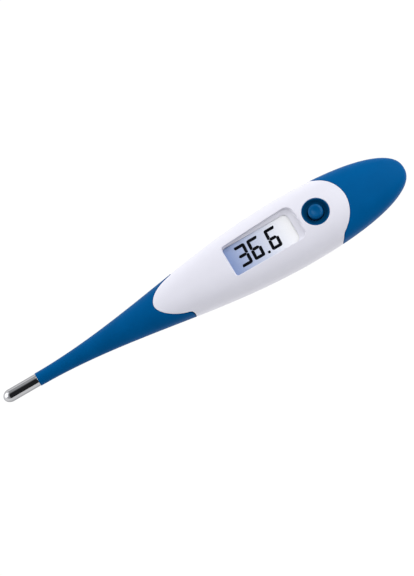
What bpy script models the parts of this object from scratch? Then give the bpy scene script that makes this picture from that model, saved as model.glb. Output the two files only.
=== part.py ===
"""Digital clinical thermometer with a soft stem, a small display and a pull-off battery cap.

Metres, +Z up.  It lies on its flat back: X runs from the metal tip (-X) to the battery cap (+X),
Y runs across it, and Z points out of the display.  The origin is under the middle of its box.
Along the thermometer, places are given as a station: the distance from the tip.  Heights are
given from the mid-plane, which holds the axis of the stem.
"""

import math

import bmesh
import bpy

MM = 0.001

# Overall size
LENGTH = 138 * MM
WIDTH = 22.3 * MM
THICKNESS = 12.6 * MM
BACK_FLAT = 6.05 * MM            # from the mid-plane to the flat on the back
GAP = 0.3 * MM                   # between neighbouring pieces
THIN_GAP = 0.15 * MM             # between thin sheet-metal pieces and their seats

# Outer form: a round stem swells into a flattened handle, which ends in a rounded nose
STEM_RADIUS = 2.1 * MM
SWELL_START = 12 * MM
WIDTH_SWELL = 88 * MM
HEIGHT_SWELL = 68 * MM
NOSE_START = 100 * MM
NOSE_LENGTH = LENGTH - NOSE_START
NOSE_POWER = 2.3
ROUND_POWER = 2.0                # section exponent of the stem
HANDLE_POWER = 2.5               # section exponent of the handle
RING_POINTS = 24

# Metal tip
TIP_RADIUS = 1.95 * MM
TIP_WALL = 0.25 * MM
TIP_END = 11.6 * MM
TIP_NOSE = 2.4 * MM
BEAD_RADIUS = 0.55 * MM
BEAD_STATION = 2.7 * MM
POTTING_START = 3.6 * MM
POTTING_END = 8.7 * MM
POTTING_RADIUS = 1.4 * MM
SPIGOT_START = 9.0 * MM
SPIGOT_RADIUS = 1.35 * MM

# Soft stem: pivots from the handle towards the tip, which bend and sway in turn
FIRST_PIVOT = 44 * MM
PIVOT_PITCH = 4 * MM
PIVOT_SWING = (8, 9, 11.2, 13, 15.2, 16, 17.6, 18)      # degrees each way at each pivot
SWING_MARGIN = 1.0                                      # degrees left over at each pivot
BALL_RADIUS = 1.25 * MM
STEM_BORE = 0.6 * MM
STEM_POINTS = 16
COLLAR_BORE = (39 * MM, 79 * MM)                        # first and last station of the bore for the leads
COLLAR_JOINT = (46.5 * MM, 4.0 * MM, 3.4 * MM)          # root of the ball: station, half width, half height
COLLAR_SPIGOT_END = 66 * MM
LEAD_RADIUS = 0.2 * MM
LEAD_OFFSET = 0.27 * MM

# White housing and its two tongues, which lie over the blue collar and the blue cap
HOUSING_WALL = 1.1 * MM
HOUSING_START = 62.1 * MM
HOUSING_END = 111.5 * MM
FRONT_TONGUE = (64.3 * MM, 12.0 * MM, 7.0 * MM, 1.8)     # centre station, length, half width, power
REAR_TONGUE = (108.4 * MM, 10.0 * MM, 10.6 * MM, 1.9)
TONGUE_POINTS = 16
SPIGOT_INSET = HOUSING_WALL + GAP

# Display: heights from the mid-plane, downwards
WINDOW_CENTRE = 89.0 * MM
WINDOW_OPENING = (22.4 * MM, 9.5 * MM)
POCKET_TOP = (25.4 * MM, 14.6 * MM)
POCKET_HEIGHT = 6.5 * MM
SEAT_HEIGHT = 4.6 * MM
PAD_SIZE = (29 * MM, 15 * MM)
PAD_HEIGHT = 3.2 * MM
WINDOW_SIZE = (24.0 * MM, 11.1 * MM, 0.5 * MM)
WINDOW_TOP = 4.3 * MM
LCD_SIZE = (23.0 * MM, 10.2 * MM)
LCD_LEDGE = 1.9 * MM             # contact ledge of the front glass
GLASS = 0.5 * MM
FOIL = 0.2 * MM
POLARIZER_TOP = 3.5 * MM
FRONT_GLASS_TOP = 3.05 * MM
REAR_GLASS_TOP = 2.3 * MM
REFLECTOR_TOP = 1.55 * MM
FRAME_SIZE = (25.6 * MM, 12.6 * MM)
FRAME_TOP = 2.9 * MM
ZEBRA_WIDTH = 1.2 * MM

# Circuit board
BOARD_START = 68 * MM
BOARD_END = 110.3 * MM
BOARD_WIDTH = 11 * MM
BOARD_TOP = -1.0 * MM
BOARD_THICKNESS = 0.8 * MM
UNDERSIDE = BOARD_TOP - BOARD_THICKNESS - GAP
BLOB_STATION = 80 * MM
CRYSTAL_PLACE = (88 * MM, -3.4 * MM)
CRYSTAL_RADIUS = 0.75 * MM
CRYSTAL_LENGTH = 5.5 * MM
CHIP_SIZE = (1.25 * MM, 2.0 * MM, 0.7 * MM)
CHIPS = (("chip_capacitor_1", 72.5 * MM, 2.2 * MM, "epoxy"), ("chip_capacitor_2", 75 * MM, 2.2 * MM, "epoxy"),
         ("chip_resistor", 72.5 * MM, -2.2 * MM, "black"))
BUZZER_STATION = 97 * MM
BUZZER_RADIUS = 4.4 * MM
BUZZER_CERAMIC = 3.0 * MM
BUZZER_SHEET = 0.2 * MM

# Button
BUTTON_STATION = 108.1 * MM
RING_RADIUS = 4.15 * MM
RING_SKIRT = 3.6 * MM
RING_TOP = 6.25 * MM
RING_SEAT = 5.85 * MM
RING_FLOOR = 4.9 * MM
RING_INNER = (3.25 * MM, 3.75 * MM)      # radius of the ring's hollow at its floor and at its top
DOME_RADIUS = 2.45 * MM
DOME_TOP = 6.65 * MM
DOME_UNDERSIDE = 4.6 * MM
PLUNGER_RADIUS = 1.0 * MM
PLUNGER_END = 0.3 * MM
SNAP_RADIUS = 2.4 * MM
SNAP_HEIGHT = 0.45 * MM

# Battery, its carrier and the cap
BATTERY_STATION = 121.5 * MM
BATTERY_RADIUS = 3.95 * MM
BATTERY_HEIGHT = 3.6 * MM
BATTERY_BASE = -1.4 * MM
TROUGH_START = 67 * MM
TROUGH_WALL = 0.8 * MM
TROUGH_TOP = BOARD_TOP
TROUGH_SHOULDER = 106 * MM
BULKHEAD_START = 110.9 * MM
BULKHEAD_END = 111.8 * MM
BULKHEAD_TOP = 4.0 * MM
NECK_END = 128.6 * MM
NECK_INSET = 2.6 * MM
GROOVE = (112.7 * MM, 114.3 * MM)
GROOVE_INSET = 3.5 * MM
SEAL_RADIUS = 0.35 * MM
SEAL_INSET = 2.85 * MM
CAP_WALL = 1.1 * MM
LINER_INSET = CAP_WALL + GAP
LINER_WALL = 0.8 * MM
CAP_ROOT = 115 * MM              # second station of the cap's skins
CONTACT_THICKNESS = 0.2 * MM
CONTACT_HEIGHT = BATTERY_BASE - THIN_GAP - CONTACT_THICKNESS / 2
CONTACT_SLOT = (3.0 * MM, 0.8 * MM)
SIDE_CONTACT_HEIGHT = 0.1 * MM
SIDE_CONTACT_WIDTH = 1.6 * MM
SIDE_SLOT = (0.9 * MM, 2.2 * MM)

BLUE = (0.010, 0.110, 0.300)
NAVY = (0.006, 0.045, 0.140)
WHITE = (0.790, 0.780, 0.850)
CREAM = (0.700, 0.690, 0.640)
STEEL = (0.620, 0.620, 0.640)
CLEAR = (0.850, 0.900, 0.950)
DISPLAY_GREY = (0.400, 0.480, 0.560)
BOARD_GREEN = (0.020, 0.180, 0.080)
BLACK = (0.015, 0.015, 0.017)
BRASS = (0.700, 0.520, 0.220)
COPPER = (0.720, 0.330, 0.160)
PINK = (0.820, 0.420, 0.380)
EPOXY = (0.600, 0.480, 0.220)


def clear_scene():
    for obj in list(bpy.data.objects):
        bpy.data.objects.remove(obj, do_unlink=True)


def new_collection(name):
    collection = bpy.data.collections.new(name)
    bpy.context.scene.collection.children.link(collection)
    return collection


def make_material(name, colour, roughness, metallic=0.0, alpha=1.0):
    material = bpy.data.materials.new(name)
    material.use_nodes = True
    shader = material.node_tree.nodes["Principled BSDF"]
    shader.inputs["Base Color"].default_value = (*colour, 1.0)
    shader.inputs["Roughness"].default_value = roughness
    shader.inputs["Metallic"].default_value = metallic
    shader.inputs["Alpha"].default_value = alpha
    material.diffuse_color = (*colour, alpha)
    return material


def at(station, across=0.0, height=0.0):
    """A point of the model from its station, its distance across and its height from the mid-plane."""
    return (station - LENGTH / 2, across, height + BACK_FLAT)


# ---------------------------------------------------------------- outer form


def smoothstep(t):
    t = min(max(t, 0.0), 1.0)
    return t * t * (3 - 2 * t)


def superellipse(t, power):
    return max(1 - min(t, 1.0) ** power, 0.0) ** (1 / power)


def half_size(station, full, swell, inset):
    """Half the width or height of the outer form at a station, inset towards its inside."""
    if station > NOSE_START:
        along = (station - NOSE_START) / (NOSE_LENGTH - inset)
        return (full / 2 - inset) * superellipse(along, NOSE_POWER)
    grown = smoothstep((station - SWELL_START) / swell)
    return STEM_RADIUS + (full / 2 - STEM_RADIUS) * grown - inset


def half_width(station, inset=0.0):
    return half_size(station, WIDTH, WIDTH_SWELL, inset)


def half_height(station, inset=0.0):
    return half_size(station, THICKNESS, HEIGHT_SWELL, inset)


def section_power(station):
    return ROUND_POWER + (HANDLE_POWER - ROUND_POWER) * smoothstep((station - 30 * MM) / (50 * MM))


def oval(half_w, half_h, power, points):
    """Points around a superellipse as (across, height)."""
    ring = []
    for i in range(points):
        angle = 2 * math.pi * i / points
        across, up = math.cos(angle), math.sin(angle)
        ring.append((math.copysign(abs(across) ** (2 / power), across) * half_w,
                     math.copysign(abs(up) ** (2 / power), up) * half_h))
    return ring


def form_ring(station, inset=0.0, lowest=None, highest=None):
    """The section of the outer form at a station, flattened at the back."""
    lowest = -BACK_FLAT + inset if lowest is None else lowest
    highest = THICKNESS if highest is None else highest
    ring = oval(half_width(station, inset), half_height(station, inset), section_power(station), RING_POINTS)
    return [at(station, y, min(max(z, lowest), highest)) for y, z in ring]


def steps(start, end, count):
    return [start + (end - start) * i / (count - 1) for i in range(count)]


def nose_stations(inset=0.0, count=7, first=1):
    """Stations along the nose, closer together towards its end."""
    reach = NOSE_LENGTH - inset
    turns = [math.radians(86) * i / count for i in range(first, count + 1)]
    return [NOSE_START + reach * math.sin(turn) for turn in turns]


# ---------------------------------------------------------------- building tools


def add_object(name, data, collection, material=None):
    obj = bpy.data.objects.new(name, data)
    collection.objects.link(obj)
    if material:
        obj.data.materials.append(material)
    return obj


def mesh_from(name, bm):
    bmesh.ops.recalc_face_normals(bm, faces=bm.faces)
    mesh = bpy.data.meshes.new(name)
    bm.to_mesh(mesh)
    bm.free()
    mesh.shade_smooth()
    mesh.set_sharp_from_angle(angle=math.radians(35))
    return mesh


def loft(name, rings, collection, material=None, hoop=False):
    """A skin over rings of points.  Its ends are capped, or joined to each other for a hoop."""
    bm = bmesh.new()
    rows = [[bm.verts.new(point) for point in ring] for ring in rings]
    count = len(rows[0])
    pairs = list(zip(rows, rows[1:]))
    if hoop:
        pairs.append((rows[-1], rows[0]))
    for row, following in pairs:
        for i in range(count):
            j = (i + 1) % count
            bm.faces.new((row[i], row[j], following[j], following[i]))
    if not hoop:
        bm.faces.new(rows[0])
        bm.faces.new(rows[-1])
    return add_object(name, mesh_from(name, bm), collection, material)


def box(name, centre, size, collection, material=None, rounding=0.0):
    bm = bmesh.new()
    bmesh.ops.create_cube(bm, size=1.0)
    bmesh.ops.scale(bm, vec=size, verts=bm.verts)
    obj = add_object(name, mesh_from(name, bm), collection, material)
    obj.location = centre
    if rounding:
        bevel = obj.modifiers.new("corners", "BEVEL")
        bevel.width = rounding
        bevel.segments = 2
        bevel.limit_method = "ANGLE"
    return obj


def cylinder(name, centre, radius, depth, collection, material=None, sides=24, rotation=(0, 0, 0)):
    bm = bmesh.new()
    bmesh.ops.create_cone(bm, cap_ends=True, segments=sides, radius1=radius, radius2=radius, depth=depth)
    obj = add_object(name, mesh_from(name, bm), collection, material)
    obj.location = centre
    obj.rotation_euler = rotation
    return obj


def turned(name, profile, location, collection, material, closed=False, steps_round=24, rotation=(0, 0, 0)):
    """A profile of (radius, height) points, down the outer side first, turned about the local Z axis."""
    bm = bmesh.new()
    points = [bm.verts.new((radius, 0.0, height)) for radius, height in profile]
    for a, b in zip(points, points[1:]):
        bm.edges.new((a, b))
    if closed:
        bm.edges.new((points[-1], points[0]))
    mesh = bpy.data.meshes.new(name)
    bm.to_mesh(mesh)
    bm.free()
    obj = add_object(name, mesh, collection, material)
    obj.location = location
    obj.rotation_euler = rotation
    screw = obj.modifiers.new("turn", "SCREW")
    screw.axis = "Z"
    screw.steps = steps_round
    screw.render_steps = steps_round
    screw.use_merge_vertices = True
    screw.merge_threshold = 0.000005
    screw.use_smooth_shade = True
    return obj


def prism(name, outline, low, high, collection, material=None):
    """A flat outline of (station, across) points between two heights, as a filled curve made a mesh."""
    curve = bpy.data.curves.new(name, "CURVE")
    curve.dimensions = "2D"
    curve.fill_mode = "BOTH"
    curve.extrude = (high - low) / 2
    spline = curve.splines.new("POLY")
    spline.points.add(len(outline) - 1)
    for point, (station, across) in zip(spline.points, outline):
        x, y, _ = at(station, across)
        point.co = (x, y, 0.0, 1.0)
    spline.use_cyclic_u = True
    source = bpy.data.objects.new(name + "_outline", curve)
    collection.objects.link(source)
    bpy.context.view_layer.update()
    evaluated = source.evaluated_get(bpy.context.evaluated_depsgraph_get())
    bm = bmesh.new()
    bm.from_mesh(bpy.data.meshes.new_from_object(evaluated))
    bmesh.ops.remove_doubles(bm, verts=bm.verts, dist=0.000001)
    bpy.data.objects.remove(source)
    obj = add_object(name, mesh_from(name, bm), collection, material)
    obj.location = (0.0, 0.0, (low + high) / 2 + BACK_FLAT)
    return obj


def wire(name, points, radius, collection, material, cyclic=False):
    curve = bpy.data.curves.new(name, "CURVE")
    curve.dimensions = "3D"
    curve.bevel_depth = radius
    curve.bevel_resolution = 2
    curve.use_fill_caps = True
    spline = curve.splines.new("POLY")
    spline.points.add(len(points) - 1)
    for point, co in zip(spline.points, points):
        point.co = (*co, 1.0)
    spline.use_cyclic_u = cyclic
    return add_object(name, curve, collection, material)


def combine(target, operation, *others):
    for other in others:
        modifier = target.modifiers.new(operation.lower() + "_" + other.name, "BOOLEAN")
        modifier.operation = operation
        modifier.solver = "EXACT"
        modifier.object = other


def hide_cutters(cutters):
    for obj in cutters.objects:
        obj.hide_render = True
        obj.display_type = "WIRE"


# ---------------------------------------------------------------- tip and stem


def arc(radius, height_radius, base, start, end, count):
    """Points on an elliptic arc about (0, base) as (radius, height), from one angle to the other."""
    turns = [math.radians(a) for a in steps(start, end, count)]
    return [(radius * math.cos(turn), base + height_radius * math.sin(turn)) for turn in turns]


TOWARDS_TIP = (0, -math.pi / 2, 0)


def make_probe_cap(parts, material):
    straight = TIP_END - TIP_NOSE
    outside = arc(TIP_RADIUS, TIP_NOSE, straight, 90, 0, 6)
    inside = arc(TIP_RADIUS - TIP_WALL, TIP_NOSE - TIP_WALL, straight, 0, 90, 5)
    outside[0] = (0.0, TIP_END)
    inside[-1] = (0.0, TIP_END - TIP_WALL)
    rim = [(TIP_RADIUS, 0.0), (TIP_RADIUS - TIP_WALL, 0.0)]
    turned("probe_cap", outside + rim + inside, at(TIP_END), parts, material, rotation=TOWARDS_TIP)


def make_thermistor(parts, material):
    bm = bmesh.new()
    bmesh.ops.create_uvsphere(bm, u_segments=12, v_segments=8, radius=BEAD_RADIUS)
    bead = add_object("thermistor_bead", mesh_from("thermistor_bead", bm), parts, material)
    bead.location = at(BEAD_STATION)


def make_potting(parts, material):
    length = POTTING_END - POTTING_START
    profile = [(STEM_BORE, length), (POTTING_RADIUS, length), (POTTING_RADIUS, 0.0), (STEM_BORE, 0.0)]
    turned("tip_potting", profile, at(POTTING_END), parts, material, closed=True,
           steps_round=STEM_POINTS, rotation=TOWARDS_TIP)


def stem_ring(station, half_w, half_h):
    return [at(station, y, z) for y, z in oval(half_w, half_h, ROUND_POWER, STEM_POINTS)]


def outer_stem_ring(station):
    return stem_ring(station, half_width(station), half_height(station))


def round_ring(station, radius):
    return stem_ring(station, radius, radius)


def setback(pivot, radius, swing):
    """How far a piece's end face is cut back from its pivot at a radius, so that it can swing."""
    return THIN_GAP + radius * math.tan(math.radians(swing / 2 + SWING_MARGIN))


def pivot_station(index):
    return FIRST_PIVOT - index * PIVOT_PITCH


def ball_end(index):
    """Rings of the ball end at a pivot, from the bore to the outer edge."""
    pivot, swing = pivot_station(index), PIVOT_SWING[index]
    tip = math.asin(STEM_BORE / BALL_RADIUS)
    turns = steps(tip, math.pi / 2, 3)
    ball = [round_ring(pivot - BALL_RADIUS * math.cos(turn), BALL_RADIUS * math.sin(turn)) for turn in turns]
    root = round_ring(pivot + setback(pivot, BALL_RADIUS, swing), BALL_RADIUS)
    edge = pivot + setback(pivot, half_width(pivot), swing)
    return ball + [root, outer_stem_ring(edge)]


def socket_end(index):
    """Rings of the socket end at a pivot, from the outer edge to the bore."""
    pivot, swing = pivot_station(index), PIVOT_SWING[index]
    radius = BALL_RADIUS + GAP
    mouth_back = setback(pivot, radius, swing)
    edge = pivot - setback(pivot, half_width(pivot), swing)
    mouth = math.acos(mouth_back / radius)
    turns = steps(mouth, math.asin(STEM_BORE / radius), 3)
    cup = [round_ring(pivot - radius * math.cos(turn), radius * math.sin(turn)) for turn in turns]
    return [outer_stem_ring(edge)] + cup


def make_stem_links(parts, material):
    for index in range(1, len(PIVOT_SWING)):
        rings = ball_end(index) + socket_end(index - 1)
        loft(f"stem_link_{index}", rings, parts, material, hoop=True)


def make_stem_nose(parts, material):
    """The last piece of the stem, with the spigot that the metal tip is glued on."""
    shoulder = TIP_END + GAP
    start = [
        round_ring(SPIGOT_START, STEM_BORE),
        round_ring(SPIGOT_START, SPIGOT_RADIUS),
        round_ring(shoulder, SPIGOT_RADIUS),
        outer_stem_ring(shoulder),
    ]
    loft("stem_nose", start + socket_end(len(PIVOT_SWING) - 1), parts, material, hoop=True)


def make_sensor_leads(parts, material):
    start = BEAD_STATION + BEAD_RADIUS + THIN_GAP
    clear_of_collar = HOUSING_START + 4.5 * MM
    pad = BOARD_START + 1.5 * MM
    for number, side in ((1, -1), (2, 1)):
        near = side * LEAD_OFFSET
        route = [at(station, near) for station in steps(start, clear_of_collar, 12)]
        route.append(at(clear_of_collar + 1.2 * MM, side * 0.9 * MM, -0.25 * MM))
        route.append(at(pad, side * 1.8 * MM, BOARD_TOP + GAP + LEAD_RADIUS))
        route.append(at(pad + 2 * MM, side * 2.0 * MM, BOARD_TOP + GAP + LEAD_RADIUS))
        wire(f"sensor_lead_{number}", route, LEAD_RADIUS, parts, material)


# ---------------------------------------------------------------- tongues


def tongue_outline(tongue, direction, grow=0.0):
    """Half a superellipse that points along the thermometer, closed past its centre."""
    centre, length, half, power = tongue
    outline = []
    for turn in steps(-math.pi / 2, math.pi / 2, TONGUE_POINTS):
        along, across = math.cos(turn), math.sin(turn)
        station = centre + direction * (length + grow) * abs(along) ** (2 / power)
        outline.append((station, math.copysign(abs(across) ** (2 / power), across) * (half + grow)))
    return outline


def make_tongue(name, tongue, direction, cutters, grow=0.0):
    outline = tongue_outline(tongue, direction, grow)
    return prism(name, outline, 0.0, THICKNESS, cutters)


# ---------------------------------------------------------------- collar and housing


def make_collar(parts, cutters, material):
    """The thick root of the soft stem: two wings beside the white tongue and a spigot in the housing."""
    edge = ball_end(0)
    collar_end = HOUSING_START - GAP
    outer_stations = steps(FIRST_PIVOT + 1.5 * MM, collar_end, 6)
    wings = [form_ring(station) for station in outer_stations]
    collar = loft("flex_collar", wings, parts, material)
    core_stations = steps(FIRST_PIVOT + 3 * MM, COLLAR_SPIGOT_END, 5)
    core = loft("collar_core", [form_ring(s, SPIGOT_INSET) for s in core_stations], cutters)
    joint_rings = edge + [stem_ring(*COLLAR_JOINT)]
    joint = loft("collar_joint", joint_rings, cutters)
    over_tongue = make_tongue("tongue_clearance_front", FRONT_TONGUE, -1, cutters, grow=GAP)
    bore_start, bore_end = COLLAR_BORE
    bore = cylinder("collar_bore", at((bore_start + bore_end) / 2), STEM_BORE, bore_end - bore_start,
                    cutters, sides=12, rotation=TOWARDS_TIP)
    combine(collar, "DIFFERENCE", over_tongue)
    combine(collar, "UNION", core, joint)
    combine(collar, "DIFFERENCE", bore)


def make_housing(parts, cutters, material):
    """One tubular moulding, open at both ends, with a pocket for the window and a hole for the button."""
    stations = steps(50 * MM, NOSE_START, 10) + nose_stations()[:4]
    housing = loft("housing", [form_ring(s) for s in stations], parts, material)

    length = HOUSING_END - HOUSING_START
    middle = at((HOUSING_START + HOUSING_END) / 2)
    envelope = box("housing_envelope", middle, (length, 2 * WIDTH, 2 * THICKNESS), cutters)
    front = make_tongue("tongue_front", FRONT_TONGUE, -1, cutters)
    rear = make_tongue("tongue_rear", REAR_TONGUE, 1, cutters)
    combine(envelope, "UNION", front, rear)

    inner_stations = steps(48 * MM, NOSE_START, 7) + nose_stations(HOUSING_WALL)[:5]
    cavity = loft("housing_cavity", [form_ring(s, HOUSING_WALL) for s in inner_stations], cutters)
    pad_depth = THICKNESS
    pad = box("window_pad", at(WINDOW_CENTRE, 0, PAD_HEIGHT + pad_depth / 2), (*PAD_SIZE, pad_depth), cutters)
    combine(cavity, "DIFFERENCE", pad)

    seat_size = (WINDOW_SIZE[0] + 2 * GAP, WINDOW_SIZE[1] + 2 * GAP, SEAT_HEIGHT)
    seat = box("window_seat", at(WINDOW_CENTRE, 0, SEAT_HEIGHT / 2), seat_size, cutters)
    pocket = make_pocket(cutters)
    bore = cylinder("button_bore", at(BUTTON_STATION, 0, RING_SEAT), RING_SKIRT + GAP, 4 * MM, cutters)
    counterbore_depth = 2 * MM
    counterbore_base = RING_SEAT - GAP
    centre = at(BUTTON_STATION, 0, counterbore_base + counterbore_depth / 2)
    counterbore = cylinder("button_counterbore", centre, RING_RADIUS + GAP, counterbore_depth, cutters)
    combine(housing, "INTERSECT", envelope)
    combine(housing, "DIFFERENCE", cavity, seat, pocket, bore, counterbore)


def make_pocket(cutters):
    """The drafted recess over the window, wider at its top."""
    base = SEAT_HEIGHT - GAP
    depth = POCKET_HEIGHT - base
    bm = bmesh.new()
    bmesh.ops.create_cube(bm, size=1.0)
    top = [v for v in bm.verts if v.co.z > 0]
    bottom = [v for v in bm.verts if v.co.z < 0]
    bmesh.ops.scale(bm, vec=(*POCKET_TOP, depth), verts=top)
    bmesh.ops.scale(bm, vec=(*WINDOW_OPENING, depth), verts=bottom)
    pocket = add_object("window_pocket", mesh_from("window_pocket", bm), cutters)
    pocket.location = at(WINDOW_CENTRE, 0, base + depth / 2)
    return pocket


# ---------------------------------------------------------------- display


def make_plate(name, top, size, parts, material, across=0.0, rounding=0.0):
    centre = at(WINDOW_CENTRE, across, top - size[2] / 2)
    return box(name, centre, size, parts, material, rounding)


def make_display(parts, cutters, look):
    make_plate("display_window", WINDOW_TOP, WINDOW_SIZE, parts, look["clear"])
    foil_size = (WINDOW_OPENING[0], WINDOW_OPENING[1], FOIL)
    make_plate("lcd_polarizer", POLARIZER_TOP, foil_size, parts, look["foil"])
    make_plate("lcd_front_glass", FRONT_GLASS_TOP, (*LCD_SIZE, GLASS), parts, look["lcd"])
    rear_width = LCD_SIZE[1] - LCD_LEDGE
    rear_shift = -LCD_LEDGE / 2
    rear_size = (LCD_SIZE[0], rear_width, GLASS)
    make_plate("lcd_rear_glass", REAR_GLASS_TOP, rear_size, parts, look["lcd"], rear_shift)
    reflector_size = (LCD_SIZE[0], rear_width, FOIL)
    make_plate("lcd_reflector", REFLECTOR_TOP, reflector_size, parts, look["foil"], rear_shift)

    legs_end = BOARD_TOP + GAP
    frame_depth = FRAME_TOP - legs_end
    frame = make_plate("lcd_frame", FRAME_TOP, (*FRAME_SIZE, frame_depth), parts, look["cream"])
    opening_size = (LCD_SIZE[0] + 2 * GAP, LCD_SIZE[1] + 2 * GAP, 2 * frame_depth)
    opening = box("lcd_frame_opening", at(WINDOW_CENTRE, 0, FRAME_TOP), opening_size, cutters)
    combine(frame, "DIFFERENCE", opening)

    zebra_top = FRONT_GLASS_TOP - GLASS - GAP
    zebra_size = (LCD_SIZE[0] - 1 * MM, ZEBRA_WIDTH, zebra_top - legs_end)
    zebra_across = LCD_SIZE[1] / 2 - ZEBRA_WIDTH / 2 - THIN_GAP
    make_plate("zebra_strip", zebra_top, zebra_size, parts, look["zebra"], zebra_across)


# ---------------------------------------------------------------- circuit board


def make_board(parts, look):
    length = BOARD_END - BOARD_START
    centre = at(BOARD_START + length / 2, 0, BOARD_TOP - BOARD_THICKNESS / 2)
    box("circuit_board", centre, (length, BOARD_WIDTH, BOARD_THICKNESS), parts, look["board"])

    blob = [(0.0, 0.0), (2.9 * MM, 0.0), (2.7 * MM, -0.45 * MM), (1.8 * MM, -0.85 * MM), (0.0, -1.05 * MM)]
    turned("controller_blob", blob, at(BLOB_STATION, 0, UNDERSIDE), parts, look["black"], steps_round=20)

    crystal_centre = at(*CRYSTAL_PLACE, UNDERSIDE - CRYSTAL_RADIUS)
    cylinder("quartz_crystal", crystal_centre, CRYSTAL_RADIUS, CRYSTAL_LENGTH, parts, look["steel"], sides=14,
             rotation=TOWARDS_TIP)

    for name, station, across, colour in CHIPS:
        box(name, at(station, across, UNDERSIDE - CHIP_SIZE[2] / 2), CHIP_SIZE, parts, look[colour])


def make_buzzer(parts, look):
    sheet = BUZZER_SHEET
    floor = -BACK_FLAT + SPIGOT_INSET + TROUGH_WALL
    plate_base = floor + GAP
    ceramic_base = plate_base + sheet + THIN_GAP
    plate_centre = at(BUZZER_STATION, 0, plate_base + sheet / 2)
    ceramic_centre = at(BUZZER_STATION, 0, ceramic_base + sheet / 2)
    cylinder("buzzer_plate", plate_centre, BUZZER_RADIUS, sheet, parts, look["brass"])
    cylinder("buzzer_ceramic", ceramic_centre, BUZZER_CERAMIC, sheet, parts, look["cream"])
    lead_top = UNDERSIDE - LEAD_RADIUS
    ends = (("buzzer_lead_1", 3.7 * MM, plate_base + sheet), ("buzzer_lead_2", 2.2 * MM, ceramic_base + sheet))
    for name, offset, base in ends:
        low = base + THIN_GAP + LEAD_RADIUS
        start = BUZZER_STATION - offset
        rise = start - 1.4 * MM
        route = [at(start, 0, low), at(start - 0.8 * MM, 0, low + 0.1 * MM),
                 at(rise, 0.4 * MM, (low + lead_top) / 2), at(rise, 1.6 * MM, lead_top)]
        wire(name, route, LEAD_RADIUS / 2, parts, look["copper"])


# ---------------------------------------------------------------- button


def make_button(parts, look):
    floor_top = RING_FLOOR + 0.3 * MM
    hole = DOME_RADIUS + GAP
    inner_low, inner_high = RING_INNER
    ring = [
        (RING_RADIUS, RING_TOP), (RING_RADIUS, RING_SEAT), (RING_SKIRT, RING_SEAT), (RING_SKIRT, RING_FLOOR),
        (hole, RING_FLOOR), (hole, floor_top), (inner_low, floor_top), (inner_high, RING_TOP),
    ]
    turned("button_ring", ring, at(BUTTON_STATION), parts, look["navy"], closed=True)

    shoulder = DOME_TOP - 0.9 * MM
    crown = arc(DOME_RADIUS, DOME_TOP - shoulder, shoulder, 90, 0, 6)
    crown[0] = (0.0, DOME_TOP)
    lower = [(DOME_RADIUS, DOME_UNDERSIDE), (PLUNGER_RADIUS, DOME_UNDERSIDE), (PLUNGER_RADIUS, PLUNGER_END),
             (0.0, PLUNGER_END)]
    turned("power_button", crown + lower, at(BUTTON_STATION), parts, look["blue"])

    sheet = 0.15 * MM
    outside = [(0.0, SNAP_HEIGHT), (1.3 * MM, 0.36 * MM), (2.0 * MM, 0.18 * MM), (SNAP_RADIUS, 0.0)]
    inside = [(2.1 * MM, 0.0), (1.75 * MM, 0.1 * MM), (1.2 * MM, 0.22 * MM), (0.0, SNAP_HEIGHT - sheet)]
    turned("switch_dome", outside + inside, at(BUTTON_STATION, 0, BOARD_TOP + GAP), parts, look["steel"])


# ---------------------------------------------------------------- battery and its carrier


def make_chassis(parts, cutters, material):
    """A trough for the board in the housing, then a neck with a seal groove and the battery bay."""
    trough_stations = steps(TROUGH_START, NOSE_START, 5) + [TROUGH_SHOULDER, BULKHEAD_END]
    trough_rings = [form_ring(s, SPIGOT_INSET, highest=TROUGH_TOP) for s in trough_stations]
    chassis = loft("chassis", trough_rings, parts, material)
    hollow_inset = SPIGOT_INSET + TROUGH_WALL
    hollow_stations = steps(TROUGH_START - 2 * MM, NOSE_START, 5) + [TROUGH_SHOULDER, BULKHEAD_START]
    hollow = loft("trough_hollow", [form_ring(s, hollow_inset) for s in hollow_stations], cutters)
    bulkhead = loft("bulkhead", [form_ring(s, SPIGOT_INSET, highest=BULKHEAD_TOP)
                                 for s in (BULKHEAD_START, BULKHEAD_END)], cutters)
    groove_start, groove_end = GROOVE
    neck_rings = [form_ring(s, NECK_INSET) for s in (BULKHEAD_START + 0.2 * MM, groove_start)]
    neck_rings += [form_ring(s, GROOVE_INSET) for s in (groove_start, groove_end)]
    neck_rings += [form_ring(s, NECK_INSET) for s in steps(groove_end, NECK_END, 4)]
    neck = loft("neck", neck_rings, cutters)

    pocket_radius = BATTERY_RADIUS + GAP
    pocket_floor = BATTERY_BASE - CONTACT_THICKNESS - 2 * THIN_GAP
    pocket_depth = THICKNESS / 2
    pocket = cylinder("battery_pocket", at(BATTERY_STATION, 0, pocket_floor + pocket_depth / 2), pocket_radius,
                      pocket_depth, cutters)
    slot_end = BATTERY_STATION - 2 * MM
    slot_length = slot_end - (BULKHEAD_START - 1 * MM)
    slot_middle = slot_end - slot_length / 2
    slot = box("contact_slot", at(slot_middle, 0, CONTACT_HEIGHT), (slot_length, *CONTACT_SLOT), cutters)
    side_centre = at(slot_middle + 1 * MM, BATTERY_RADIUS + 0.25 * MM, SIDE_CONTACT_HEIGHT)
    side_slot = box("side_contact_slot", side_centre, (slot_length + 2 * MM, *SIDE_SLOT), cutters)
    combine(chassis, "DIFFERENCE", hollow)
    combine(chassis, "UNION", bulkhead, neck)
    combine(chassis, "DIFFERENCE", pocket, slot, side_slot)


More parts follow.
